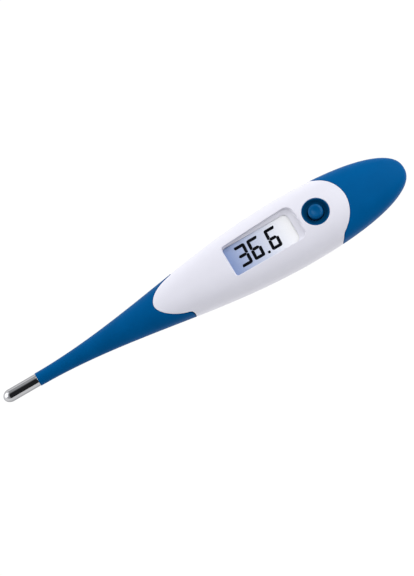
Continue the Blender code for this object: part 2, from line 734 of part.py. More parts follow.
def make_battery(parts, look):
    step_height = 0.4 * MM
    step_radius = BATTERY_RADIUS - 0.9 * MM
    edge = 0.3 * MM
    profile = [
        (0.0, BATTERY_HEIGHT), (BATTERY_RADIUS - edge, BATTERY_HEIGHT), (BATTERY_RADIUS, BATTERY_HEIGHT - edge),
        (BATTERY_RADIUS, step_height), (step_radius, step_height), (step_radius, 0.0), (0.0, 0.0),
    ]
    turned("battery_cell", profile, at(BATTERY_STATION, 0, BATTERY_BASE), parts, look["steel"])

    start = BOARD_END + GAP
    end = BATTERY_STATION + 1.5 * MM
    strip_size = (end - start, 2 * MM, CONTACT_THICKNESS)
    box("battery_contact_negative", at((start + end) / 2, 0, CONTACT_HEIGHT), strip_size, parts, look["brass"])
    across = BATTERY_RADIUS + THIN_GAP + CONTACT_THICKNESS
    side_size = (BATTERY_STATION - start, CONTACT_THICKNESS, SIDE_CONTACT_WIDTH)
    side_centre = at((start + BATTERY_STATION) / 2, across, SIDE_CONTACT_HEIGHT)
    box("battery_contact_positive", side_centre, side_size, parts, look["brass"])


def make_seal(parts, material):
    station = sum(GROOVE) / 2
    ring = oval(half_width(station, SEAL_INSET), half_height(station, SEAL_INSET), section_power(station), 32)
    wire("seal_ring", [at(station, y, z) for y, z in ring], SEAL_RADIUS, parts, material, cyclic=True)


# ---------------------------------------------------------------- cap


def make_cap(parts, cutters, look):
    """The soft blue skin of the cap, notched for the white tongue, over a hard liner."""
    skin_start = HOUSING_END + GAP
    skin_stations = [skin_start, CAP_ROOT] + nose_stations(0.0, first=4, count=8)
    skin = loft("end_cap", [form_ring(s) for s in skin_stations], parts, look["blue"])
    hollow_stations = [skin_start - 2 * MM, CAP_ROOT] + nose_stations(CAP_WALL, first=4, count=8)
    hollow = loft("cap_hollow", [form_ring(s, CAP_WALL) for s in hollow_stations], cutters)
    notch = make_tongue("tongue_clearance_rear", REAR_TONGUE, 1, cutters, grow=GAP)
    combine(skin, "DIFFERENCE", hollow, notch)

    liner_start = skin_start + GAP
    liner_stations = [liner_start, CAP_ROOT] + nose_stations(LINER_INSET, first=4, count=7)
    liner = loft("cap_liner", [form_ring(s, LINER_INSET) for s in liner_stations], parts, look["white"])
    inner = LINER_INSET + LINER_WALL
    inner_stations = [liner_start - 2 * MM, CAP_ROOT] + nose_stations(inner, first=4, count=7)
    combine(liner, "DIFFERENCE", loft("liner_hollow", [form_ring(s, inner) for s in inner_stations], cutters))


def main():
    clear_scene()
    parts = new_collection("digital_thermometer")
    cutters = new_collection("cutters")
    look = {
        "blue": make_material("blue_elastomer", BLUE, 0.5),
        "navy": make_material("navy_elastomer", NAVY, 0.5),
        "white": make_material("white_plastic", WHITE, 0.35),
        "cream": make_material("cream_plastic", CREAM, 0.5),
        "steel": make_material("polished_steel", STEEL, 0.15, metallic=1.0),
        "clear": make_material("clear_plastic", CLEAR, 0.05, alpha=0.3),
        "foil": make_material("display_foil", DISPLAY_GREY, 0.3),
        "lcd": make_material("display_glass", CLEAR, 0.05, alpha=0.4),
        "zebra": make_material("zebra_rubber", PINK, 0.6),
        "board": make_material("board_laminate", BOARD_GREEN, 0.4),
        "black": make_material("black_resin", BLACK, 0.4),
        "brass": make_material("brass_sheet", BRASS, 0.3, metallic=1.0),
        "copper": make_material("copper_wire", COPPER, 0.3, metallic=1.0),
        "epoxy": make_material("epoxy_resin", EPOXY, 0.4),
        "seal": make_material("seal_rubber", BLACK, 0.6),
    }
    make_probe_cap(parts, look["steel"])
    make_thermistor(parts, look["black"])
    make_potting(parts, look["epoxy"])
    make_stem_nose(parts, look["blue"])
    make_stem_links(parts, look["blue"])
    make_sensor_leads(parts, look["copper"])
    make_collar(parts, cutters, look["blue"])
    make_housing(parts, cutters, look["white"])
    make_display(parts, cutters, look)
    make_board(parts, look)
    make_buzzer(parts, look)
    make_button(parts, look)
    make_chassis(parts, cutters, look["cream"])
    make_battery(parts, look)
    make_seal(parts, look["seal"])
    make_cap(parts, cutters, look)
    hide_cutters(cutters)


main()
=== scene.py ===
"""Looks of the digital thermometer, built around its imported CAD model.

Metres, in the CAD model's frame: X runs from the steel tip (-X) to the battery cap (+X), Z points out
of the display.  Along the thermometer, places are stations: distances from the tip.  Heights are given
from the mid-plane, which holds the axis of the stem.
"""

from math import cos, hypot, pi, radians, sin

import bmesh
import bpy
import numpy as np
from mathutils import Matrix, Vector


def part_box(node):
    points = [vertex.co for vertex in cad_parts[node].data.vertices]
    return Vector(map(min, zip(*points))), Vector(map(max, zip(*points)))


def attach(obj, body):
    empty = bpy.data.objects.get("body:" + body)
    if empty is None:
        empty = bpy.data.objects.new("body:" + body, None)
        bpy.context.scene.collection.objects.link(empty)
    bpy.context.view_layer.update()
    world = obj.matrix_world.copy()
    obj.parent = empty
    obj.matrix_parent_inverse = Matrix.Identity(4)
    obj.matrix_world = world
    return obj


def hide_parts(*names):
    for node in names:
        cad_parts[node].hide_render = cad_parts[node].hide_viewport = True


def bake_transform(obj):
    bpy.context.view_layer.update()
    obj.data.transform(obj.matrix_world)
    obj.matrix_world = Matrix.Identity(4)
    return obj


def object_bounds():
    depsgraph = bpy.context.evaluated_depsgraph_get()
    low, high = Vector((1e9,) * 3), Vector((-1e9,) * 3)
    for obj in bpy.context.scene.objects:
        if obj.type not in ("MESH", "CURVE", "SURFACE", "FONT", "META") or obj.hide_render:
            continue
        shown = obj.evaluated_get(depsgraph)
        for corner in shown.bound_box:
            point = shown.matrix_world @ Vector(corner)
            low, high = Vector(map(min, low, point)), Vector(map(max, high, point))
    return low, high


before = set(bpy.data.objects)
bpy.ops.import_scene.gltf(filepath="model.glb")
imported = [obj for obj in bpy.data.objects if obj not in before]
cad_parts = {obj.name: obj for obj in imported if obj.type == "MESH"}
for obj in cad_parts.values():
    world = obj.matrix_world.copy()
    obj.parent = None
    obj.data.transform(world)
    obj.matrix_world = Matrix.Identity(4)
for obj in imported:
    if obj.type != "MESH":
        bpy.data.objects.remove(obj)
cad_low, cad_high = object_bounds()

MM = 0.001

# ---- sizes taken from the frame

tip_low, tip_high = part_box("probe_cap")
housing_low, housing_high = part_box("housing")
ring_low, ring_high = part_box("button_ring")
dome_low, dome_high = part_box("power_button")
window_low, window_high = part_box("display_window")

START_X = cad_low.x
MID_Z = (tip_low.z + tip_high.z) / 2
WIDTH = housing_high.y - housing_low.y
BACK_FLAT = MID_Z - cad_low.z
TIP_RADIUS = (tip_high.y - tip_low.y) / 2
TIP_END = tip_high.x - START_X
BUTTON_STATION = (ring_low.x + ring_high.x) / 2 - START_X
RIM_RADIUS = (ring_high.x - ring_low.x) / 2 + 0.1 * MM
DOME_RADIUS = (dome_high.x - dome_low.x) / 2
DOME_TOP = dome_high.z - MID_Z
WINDOW_CENTRE = (window_low.x + window_high.x) / 2 - START_X
WINDOW_TOP = window_high.z - MID_Z

# ---- the outer form, as in the CAD model

LENGTH = 138 * MM
THICKNESS = 12.6 * MM
STEM_RADIUS = 2.1 * MM
SWELL_START = 12 * MM
WIDTH_SWELL = 88 * MM
HEIGHT_SWELL = 68 * MM
NOSE_START = 100 * MM
NOSE_LENGTH = LENGTH - NOSE_START
NOSE_POWER = 2.3
ROUND_POWER = 2.0
HANDLE_POWER = 2.5
POWER_SWELL = (30 * MM, 50 * MM)  # where the section turns from round, and over what length
HANDLE_STATION = 90 * MM
FLAT_ROUNDING = 0.05 * MM

HOUSING_START = 62.1 * MM
HOUSING_END = 111.5 * MM
FRONT_TONGUE = (64.3 * MM, 12.0 * MM, 7.0 * MM, 1.8)
REAR_TONGUE = (108.4 * MM, 10.0 * MM, 10.6 * MM, 1.9)
TONGUE_OVERLAP = 5 * MM
KINK_ROUNDING = (1.6 * MM, 0.8 * MM)  # where the seam leaves a tongue: front, rear
SEAM_LEAN = 0.9 * MM  # the rear seam leans towards the tip below its level, and back above
SEAM_LEVEL = 2.0 * MM

FIRST_PIVOT = 44 * MM
PIVOT_PITCH = 4 * MM
PIVOTS = 8

RING_TURNS = 144  # points around the outer form
ROW_PITCH = 0.55 * MM  # between rows of points along it
SEAM = 0.035 * MM  # half the visible seam between two shells
EDGE = 0.13 * MM  # rounding of a shell's edges
WALL = 1.0 * MM
FAR = 10 * MM  # a distance for points on the other side of the form

# Pocket over the window: half sizes at its floor, and how far each wall leans out per unit of height
POCKET_FLOOR = WINDOW_TOP + 0.02 * MM
POCKET_CENTRE = WINDOW_CENTRE + 0.3 * MM
POCKET_HALF = (10.98 * MM, 4.8 * MM)
POCKET_LEAN_X = (0.14, 1.15)  # towards the tip, towards the button
POCKET_LEAN_LOW = 0.28
POCKET_LEAN_HIGH = (0.20, 1.05)  # the upper wall's, at its end towards the tip and towards the button
POCKET_CORNERS = (0.8 * MM, 1.7 * MM)
POCKET_EDGE = 0.20 * MM
# Its wall's profile, from rim to floor: shares of the way in, and of the fall
POCKET_STEPS = ((0.05, 0.20), (0.10, 0.52), (0.16, 0.60), (0.26, 0.65), (0.6, 0.7948), (1.0, 1.0))
POCKET_UNDER = (1.12, 1.22)  # how far out its hidden underside turns back, along and across


def at(station, across=0.0, height=0.0):
    return Vector((START_X + station, across, MID_Z + height))


def smoothstep(t):
    t = np.clip(t, 0.0, 1.0)
    return t * t * (3 - 2 * t)


def superellipse(t, power):
    return np.maximum(1 - np.clip(t, 0.0, 1.0) ** power, 0.0) ** (1 / power)


def half_size(station, full, swell, inset):
    """Half the form's width or thickness, from its full size and the length over which it swells."""
    grown = smoothstep((station - SWELL_START) / swell)
    body = STEM_RADIUS + (full / 2 - STEM_RADIUS) * grown - inset
    along = (station - NOSE_START) / (NOSE_LENGTH - inset)
    return np.where(station > NOSE_START, (full / 2 - inset) * superellipse(along, NOSE_POWER), body)


def half_width(station, inset=0.0):
    return half_size(station, WIDTH, WIDTH_SWELL, inset)


def half_height(station, inset=0.0):
    return half_size(station, THICKNESS, HEIGHT_SWELL, inset)


def signed_power(value, power):
    return np.sign(value) * np.abs(value) ** power


def section_power(station):
    """The section's superellipse power: round in the stem, squarer in the handle."""
    grown = smoothstep((station - POWER_SWELL[0]) / POWER_SWELL[1])
    return ROUND_POWER + (HANDLE_POWER - ROUND_POWER) * grown


def form(station, turn, inset=0.0):
    """Points of the outer form as rows of x, y, z, from stations and angles around the section."""
    station, turn = np.broadcast_arrays(np.asarray(station, float), np.asarray(turn, float))
    power = section_power(station)
    y = signed_power(np.cos(turn), 2 / power) * half_width(station, inset)
    z = signed_power(np.sin(turn), 2 / power) * half_height(station, inset)
    over_flat = z + BACK_FLAT - inset
    z = (over_flat + np.sqrt(over_flat ** 2 + FLAT_ROUNDING ** 2)) / 2 - BACK_FLAT + inset
    return np.stack([station, y, z], axis=-1)


def form_normal(station, turn):
    """Outward unit normals of the outer form."""
    small_turn, small_step = 0.002, 0.02 * MM
    around = form(station, turn + small_turn) - form(station, turn - small_turn)
    ahead = np.minimum(station + small_step, LENGTH - 0.001 * MM)
    along = form(ahead, turn) - form(station - small_step, turn)
    normal = np.cross(around, along)
    size = np.linalg.norm(normal, axis=-1, keepdims=True)
    facing_out = np.sign(np.sum(normal[..., 1:] * form(station, turn)[..., 1:], axis=-1, keepdims=True))
    at_nose = np.asarray(station)[..., None] > LENGTH - 0.05 * MM
    normal = facing_out * normal / np.maximum(size, 1e-18)
    return np.where(at_nose | (size < 1e-16), np.array([1.0, 0.0, 0.0]), normal)


def even_turns(count):
    """Angles that are evenly spaced along the handle's section, starting at its side."""
    fine = np.linspace(0, 2 * pi, 4001)
    ring = form(HANDLE_STATION, fine)
    length = np.concatenate([[0], np.cumsum(np.linalg.norm(np.diff(ring, axis=0), axis=1))])
    return np.interp(np.arange(count) / count * length[-1], length, fine)


def top_height(station, across):
    """Height of the outer form over a point of its plan."""
    return half_height(station) * superellipse(np.abs(across) / half_width(station), section_power(station))


# ---- regions of the outer form

# Each region is a function of points (station, across, height)


def smooth_max(a, b, width):
    """The larger of two distances, rounded where they cross."""
    share = np.clip(0.5 + 0.5 * (a - b) / width, 0.0, 1.0)
    return b + (a - b) * share + width * share * (1 - share)


def tongue_distance(p, tongue, direction):
    """Distance inside a rounded tongue that points one way along the thermometer."""
    centre, length, half, power = tongue
    along = np.maximum((p[..., 0] - centre) * direction, 0.0) / length
    across = np.abs(p[..., 1]) / half
    reach = (along ** power + across ** power) ** (1 / power)
    reach = np.maximum(reach, 1e-6)
    slope_along = (along / reach) ** (power - 1) / length
    slope_across = (across / reach) ** (power - 1) / half
    distance = (1 - reach) / np.maximum(np.hypot(slope_along, slope_across), 0.4 / length)
    joined = (p[..., 0] - centre) * direction + TONGUE_OVERLAP
    return np.minimum(np.minimum(distance, joined), p[..., 2])


def white_distance(p):
    """Distance inside the white part's seam."""
    leaning_end = HOUSING_END - SEAM_LEAN * np.tanh((SEAM_LEVEL - p[..., 2]) / SEAM_LEVEL)
    band = np.minimum(p[..., 0] - HOUSING_START, leaning_end - p[..., 0])
    tongues = np.maximum(tongue_distance(p, FRONT_TONGUE, -1), tongue_distance(p, REAR_TONGUE, 1))
    return smooth_max(band, tongues, np.where(p[..., 0] < WINDOW_CENTRE, *KINK_ROUNDING))


def pocket_scale(x, y, height):
    """How much larger the pocket is at a height than at its floor, along and across."""
    rise = height - POCKET_FLOOR
    lean_x = np.where(x < 0, *POCKET_LEAN_X)
    lean_high = np.interp(x, (-POCKET_HALF[0], POCKET_HALF[0]), POCKET_LEAN_HIGH)
    lean_y = np.where(y < 0, POCKET_LEAN_LOW, lean_high)
    return 1 + lean_x * rise / POCKET_HALF[0], 1 + lean_y * rise / POCKET_HALF[1]


def pocket_distance(p):
    """Distance outside the pocket's drafted wall."""
    scale_x, scale_y = pocket_scale(p[..., 0] - POCKET_CENTRE, p[..., 1], p[..., 2])
    corner = np.where(p[..., 0] < POCKET_CENTRE, *POCKET_CORNERS)
    x = np.abs(p[..., 0] - POCKET_CENTRE) / scale_x - POCKET_HALF[0] + corner
    y = np.abs(p[..., 1]) / scale_y - POCKET_HALF[1] + corner
    outside = np.hypot(np.maximum(x, 0), np.maximum(y, 0)) + np.minimum(np.maximum(x, y), 0) - corner
    return np.where(p[..., 2] > 0, outside, FAR)


def bore_distance(p):
    """Distance outside the hole for the button."""
    outside = np.hypot(p[..., 0] - BUTTON_STATION, p[..., 1]) - RIM_RADIUS - SEAM
    return np.where(p[..., 2] > 0, outside, FAR)


# ---- mesh building


def full_turn(count):
    """Angles that are evenly spaced around a circle."""
    return np.arange(count) / count * 2 * pi


def quarter(count):
    """Angles from 0 to a right angle."""
    return np.linspace(0, pi / 2, count)


def mesh_from(name, bm):
    mesh = bpy.data.meshes.new(name)
    bm.to_mesh(mesh)
    bm.free()
    return mesh


def add_object(name, data):
    obj = bpy.data.objects.new(name, data)
    bpy.context.scene.collection.objects.link(obj)
    return obj


def add_piece(name, mesh, look, body=None, replaced=()):
    obj = add_object(name, mesh)
    obj.data.materials.append(look.material)
    if body:
        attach(obj, body)
    if replaced:
        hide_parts(*replaced)
    return obj


def add_mesh(name, bm, look, body=None, replaced=(), smooth=True, sharp=40):
    mesh = mesh_from(name, bm)
    if smooth:
        mesh.shade_smooth()
        mesh.set_sharp_from_angle(angle=radians(sharp))
    return add_piece(name, mesh, look, body, replaced)


def bridge(bm, row, following):
    """Joins two closed rows of points by a band of faces."""
    for k in range(len(row)):
        m = (k + 1) % len(row)
        bm.faces.new((row[k], row[m], following[m], following[k]))


def add_rings(bm, rings, caps=True):
    """Adds the surface over a list of rings of points, with its two ends capped."""
    rows = [[bm.verts.new(point) for point in ring] for ring in rings]
    for row, following in zip(rows, rows[1:]):
        bridge(bm, row, following)
    if caps:
        bm.faces.new(rows[0])
        bm.faces.new(rows[-1])
    return rows


def ring_loft(rings, close_ends=True, hoop=False):
    """A bmesh over rings of points, with its ends capped, left open or joined to each other."""
    bm = bmesh.new()
    rows = add_rings(bm, rings, close_ends and not hoop)
    if hoop:
        bridge(bm, rows[-1], rows[0])
    bmesh.ops.remove_doubles(bm, verts=bm.verts, dist=0.001 * MM)
    bmesh.ops.recalc_face_normals(bm, faces=bm.faces)
    return bm


def ring_of_form(station, inset=0.0, count=RING_TURNS):
    """Evenly spaced points around the outer form."""
    return [at(*point) for point in form(station, even_turns(count), inset)]


def round_ring(station, radius, count=RING_TURNS):
    """A circle of points around the axis of the stem."""
    return [at(station, radius * cos(turn), radius * sin(turn)) for turn in full_turn(count)]


def upright_rings(station, profile, count=96):
    """Circles of points around an upright axis, from a profile of (radius, height)."""
    return [[at(station + radius * cos(turn), radius * sin(turn), height) for turn in full_turn(count)]
            for radius, height in profile]


def rounded_corner(start, corner, end, shares=(0.25, 0.5, 0.75, 1.0)):
    """Points, or rows of points, round a corner from start to end."""
    return [(1 - t) ** 2 * start + 2 * t * (1 - t) * corner + t ** 2 * end for t in shares]


def crossing(keep, inner, outer):
    """Where keep turns from positive to negative between pairs of (station, turn), by halving."""
    inner, outer = inner.copy(), outer.copy()
    for _ in range(18):
        middle = (inner + outer) / 2
        inside = keep(form(middle[:, 0], middle[:, 1])) > 0
        inner[inside] = middle[inside]
        outer[~inside] = middle[~inside]
    return (inner + outer) / 2


def trimmed_grid(stations, turns, keep):
    """The outer form's grid where keep is positive, cut along its zero line: places and faces."""
    rows, columns = len(stations), len(turns)
    grid = np.stack(np.meshgrid(stations, turns, indexing="ij"), axis=-1)
    inside = keep(form(grid[..., 0], grid[..., 1])) > 0
    kept = list(zip(*np.nonzero(inside)))
    cuts, inner, outer = [], [], []
    for i, j in kept:
        for k, m in ((i + 1, j), (i - 1, j), (i, (j + 1) % columns), (i, (j - 1) % columns)):
            if 0 <= k < rows and not inside[k, m]:
                turn = grid[k, m, 1] + 2 * pi * round((grid[i, j, 1] - grid[k, m, 1]) / (2 * pi))
                cuts.append(((i, j), (k, m)))
                inner.append(grid[i, j])
                outer.append((grid[k, m, 0], turn))
    index = {place: number for number, place in enumerate(kept + cuts)}
    places = np.concatenate([grid[inside], crossing(keep, np.array(inner), np.array(outer))])
    faces = []
    for i in range(rows - 1):
        for j in range(columns):
            corners = [(i, j), (i + 1, j), (i + 1, (j + 1) % columns), (i, (j + 1) % columns)]
            face = []
            for a, b in zip(corners, corners[1:] + corners[:1]):
                if inside[a]:
                    face.append(index[a])
                if inside[a] != inside[b]:
                    face.append(index[(a, b) if inside[a] else (b, a)])
            if len(face) > 2:
                faces.append(face)
    return places, faces


def boundary_loops(bm):
    """The open edges of a mesh as ordered loops of vertices."""
    open_edges = {edge: None for edge in bm.edges if edge.is_boundary}  # a dict keeps the mesh's order
    loops = []
    while open_edges:
        edge, _ = open_edges.popitem()
        loop = [edge.verts[0], edge.verts[1]]
        while True:
            onward = [e for e in loop[-1].link_edges if e in open_edges]
            if not onward:
                break
            del open_edges[onward[0]]
            loop.append(onward[0].other_vert(loop[-1]))
        loops.append(loop[:-1] if loop[0] is loop[-1] else loop)
    return loops


def unit(vectors, least=1e-18):
    """Vectors scaled to length 1, in rows."""
    return vectors / np.maximum(np.linalg.norm(vectors, axis=1, keepdims=True), least)


def outward_tangent(keep, p, normal):
    """Unit vectors in the surface that point across a region's edge, out of the region."""
    small = 0.01 * MM
    axis = np.tile([1.0, 0.0, 0.0], (len(p), 1))
    first = unit(axis - normal * np.sum(axis * normal, axis=1, keepdims=True), 1e-9)
    second = np.cross(normal, first)
    slopes = [keep(p + small * e) - keep(p - small * e) for e in (first, second)]
    return unit(-(slopes[0][:, None] * first + slopes[1][:, None] * second), 1e-12)


def straight_wall(direction=None, depth=WALL):
    """An edge that turns down into the shell, along its normal or along a given direction."""
    def rows(p, normal, tangent):
        down = -normal if direction is None else np.tile(direction, (len(p), 1))
        corner = p + tangent * EDGE
        return rounded_corner(p, corner, corner + down * EDGE) + [corner + down * depth * 0.9]
    return rows


def pocket_wall(p, _, tangent):
    """The drafted wall of the pocket, from its rim to its floor and back out underneath."""
    corner = p + tangent * POCKET_EDGE
    scale_x, scale_y = pocket_scale(corner[:, 0] - POCKET_CENTRE, corner[:, 1], corner[:, 2])
    floor_x = (corner[:, 0] - POCKET_CENTRE) / scale_x
    floor_y = corner[:, 1] / scale_y
    drop = corner[:, 2] - POCKET_FLOOR
    level = np.full(len(corner), POCKET_FLOOR)
    grown_x, grown_y = pocket_scale(floor_x, floor_y, level)
    foot = np.stack([POCKET_CENTRE + floor_x * grown_x, floor_y * grown_y, level], axis=1)

    def between(inward, down):
        place = corner + (foot - corner) * inward
        place[:, 2] = corner[:, 2] - drop * down
        return place

    steps = [between(*step) for step in POCKET_STEPS]
    under = [POCKET_CENTRE + floor_x * POCKET_UNDER[0], floor_y * POCKET_UNDER[1], level + 0.05 * MM]
    return rounded_corner(p, corner, steps[0]) + steps[1:] + [np.stack(under, axis=1)]


def row_normals(row, down, facing):
    """Unit normals along a closed row of a wall, from the row's own run and the wall's fall."""
    run = np.roll(row, -1, axis=0) - np.roll(row, 1, axis=0)
    normal = np.cross(run, down)
    return unit(normal * np.where(np.sum(normal * facing, axis=1, keepdims=True) < 0, -1.0, 1.0))


def shell(name, stations, walls, look, body, replaced):
    """A closed shell over the part of the outer form inside its walls.

    walls is a list of (distance function, wall rows, rounding): each open edge takes the wall whose
    distance is least there, and an edge at the first or last station takes none."""
    def kept(p):
        return np.min([distance(p) - edge for distance, _, edge in walls], axis=0)

    places, faces = trimmed_grid(stations, even_turns(RING_TURNS), kept)
    bm = bmesh.new()
    order = bm.verts.layers.int.new("order")
    exact = bm.verts.layers.float_vector.new("exact_normal")
    verts = []
    for number, point in enumerate(form(places[:, 0], places[:, 1])):
        vert = bm.verts.new(point)
        vert[order] = number
        verts.append(vert)
    for face in faces:
        bm.faces.new([verts[k] for k in face])
    bmesh.ops.remove_doubles(bm, verts=bm.verts, dist=0.02 * MM)
    bmesh.ops.dissolve_degenerate(bm, edges=bm.edges, dist=0.001 * MM)
    loose = [v for v in bm.verts if not v.link_faces]
    bmesh.ops.delete(bm, geom=loose, context="VERTS")

    outer = list(bm.verts)
    station, turn = places[[v[order] for v in outer]].T
    normals = form_normal(station, turn)
    loops = boundary_loops(bm)
    row_of = {v: k for k, v in enumerate(outer)}
    outer_faces = [[row_of[v] for v in f.verts] for f in bm.faces]

    def add_row(row, normals_of_row):
        made = []
        for point, normal in zip(row, normals_of_row):
            vert = bm.verts.new(point)
            vert[exact] = normal
            made.append(vert)
        return made

    for vert, normal in zip(outer, normals):
        vert[exact] = normal
    inner = add_row(form(np.minimum(station, LENGTH - WALL), turn, WALL), -normals)
    for face in outer_faces:
        bm.faces.new([inner[k] for k in reversed(face)])
    for loop in loops:
        ids = [row_of[v] for v in loop]
        p, n = np.array([outer[k].co for k in ids]), normals[ids]
        distances = [np.mean(distance(p) - edge) for distance, _, edge in walls]
        nearest = int(np.argmin(distances))
        rows = [loop]
        if distances[nearest] < 0.05 * MM:
            tangent = outward_tangent(walls[nearest][0], p, n)
            made = walls[nearest][1](p, n, tangent)
            for k, row in enumerate(made):
                before = made[k - 1] if k else p
                # the last two rows look back only, because the pocket's wall turns sharply at its floor
                after = made[k + 1] if k < len(made) - 2 else row
                rows.append(add_row(row, row_normals(row, after - before, n + tangent)))
        rows.append([inner[k] for k in ids])
        for row, following in zip(rows, rows[1:]):
            bridge(bm, row, following)
    bmesh.ops.remove_doubles(bm, verts=inner, dist=0.002 * MM)
    bmesh.ops.recalc_face_normals(bm, faces=bm.faces)
    bmesh.ops.translate(bm, vec=at(0), verts=bm.verts)
    mesh = mesh_from(name, bm)
    vertex_normals = [tuple(item.vector) for item in mesh.attributes["exact_normal"].data]
    for attribute in ("order", "exact_normal"):
        mesh.attributes.remove(mesh.attributes[attribute])
    mesh.shade_smooth()
    mesh.normals_split_custom_set_from_vertices(vertex_normals)
    add_piece(name, mesh, look, body, replaced)


# ---- materials


def add_node(tree, kind, output, inputs, **settings):
    """The output of a new shader node, whose inputs are set to values or linked to other outputs."""
    node = tree.nodes.new(kind)
    for name, value in settings.items():
        setattr(node, name, value)
    for key, value in inputs.items():
        if isinstance(value, bpy.types.NodeSocket):
            tree.links.new(value, node.inputs[key])
        else:
            node.inputs[key].default_value = value
    return node.outputs[output]


class Look:
    """A Principled material whose colour, roughness and bump come from noise in object space."""

    def __init__(self, name, colour, roughness, metallic=0.0, **settings):
        self.material = bpy.data.materials.new(name)
        self.material.use_nodes = True
        self.tree = self.material.node_tree
        self.shader = self.tree.nodes["Principled BSDF"].inputs
        self.base = (*colour, 1.0)
        self.roughness = roughness
        settings.update(Base_Color=self.base, Roughness=roughness, Metallic=metallic)
        for socket, value in settings.items():
            self.shader[socket.replace("_", " ")].default_value = value
        self.place = add_node(self.tree, "ShaderNodeTexCoord", "Object", {})
        self.colour = None
        self.normal = None

    def noise(self, size, detail, stretch):
        """Noise from 0 to 1 whose blotches are about size metres wide, divided by the stretch."""
        place = self.place
        if stretch:
            place = add_node(self.tree, "ShaderNodeMapping", "Vector", {"Vector": place, "Scale": stretch})
        return add_node(self.tree, "ShaderNodeTexNoise", "Fac",
                        {"Vector": place, "Scale": 1 / size, "Detail": detail})

    def mapped(self, value, low, high, start=0.3, end=0.7):
        return add_node(self.tree, "ShaderNodeMapRange", "Result", {
            "Value": value, "From Min": start, "From Max": end, "To Min": low, "To Max": high})

    def tint(self, factor, colour):
        """Mixes a colour over the base colour, by a factor."""
        mixed = add_node(self.tree, "ShaderNodeMix", "Result",
                         {"Factor": factor, "A": self.base, "B": (*colour, 1.0)}, data_type="RGBA")
        self.tree.links.new(mixed, self.shader["Base Color"])
        return self

    def mottle(self, size, amount, detail=3.0, stretch=None):
        """Slightly darker blotches."""
        darker = [c * (1 - amount) for c in self.base[:3]]
        return self.tint(self.mapped(self.noise(size, detail, stretch), 0.0, 1.0), darker)

    def worn_gloss(self, size, spread, stretch=None):
        """Roughness that varies to both sides of its value."""
        low, high = self.roughness - spread, self.roughness + spread
        value = self.mapped(self.noise(size, 4.0, stretch), low, high)
        self.tree.links.new(value, self.shader["Roughness"])
        return self

    def grain(self, size, depth, detail=2.0, stretch=None, strength=1.0):
        """Bumps over the bumps so far."""
        inputs = {"Strength": strength, "Distance": depth, "Height": self.noise(size, detail, stretch)}
        if self.normal:
            inputs["Normal"] = self.normal
        self.normal = add_node(self.tree, "ShaderNodeBump", "Normal", inputs)
        self.tree.links.new(self.normal, self.shader["Normal"])
        return self


BLUE = (0.0, 0.080, 0.248)
# The cap's blue is a lighter copy of the stem's blue: painted light, for the light that falls more on the cap
CAP_BLUE_PAINTED_LIGHT = (0.0, 0.089, 0.276)
# Darker blue for the button's funnel: painted shade of the groove's recess
GROOVE_SHADE_BLUE = (0.0, 0.042, 0.118)
BUTTON_BLUE = (0.0, 0.076, 0.225)
WHITE = (0.730, 0.725, 0.805)
SATIN = {"Specular_IOR_Level": 0.05, "Specular_Tint": (0.2, 0.5, 1.0, 1.0)}
DOME_GLOSS = {"Specular_IOR_Level": 0.22, "Specular_Tint": (0.4, 0.75, 1.0, 1.0)}
FLOOR_GLOW = {"Emission_Strength": 0.94, "Emission_Color": (1.0, 1.0, 1.0, 1.0), "Specular_IOR_Level": 0.1}


def moulded(name, colour, roughness, grain=0.16 * MM, depth=0.004 * MM, variation=0.06, wear=0.05, **other):
    look = Look(name, colour, roughness, **other)
    return look.mottle(6 * MM, variation).worn_gloss(3.5 * MM, wear).grain(grain, depth)


def metal(name, colour, roughness, **settings):
    return Look(name, colour, roughness, metallic=1.0, **settings)


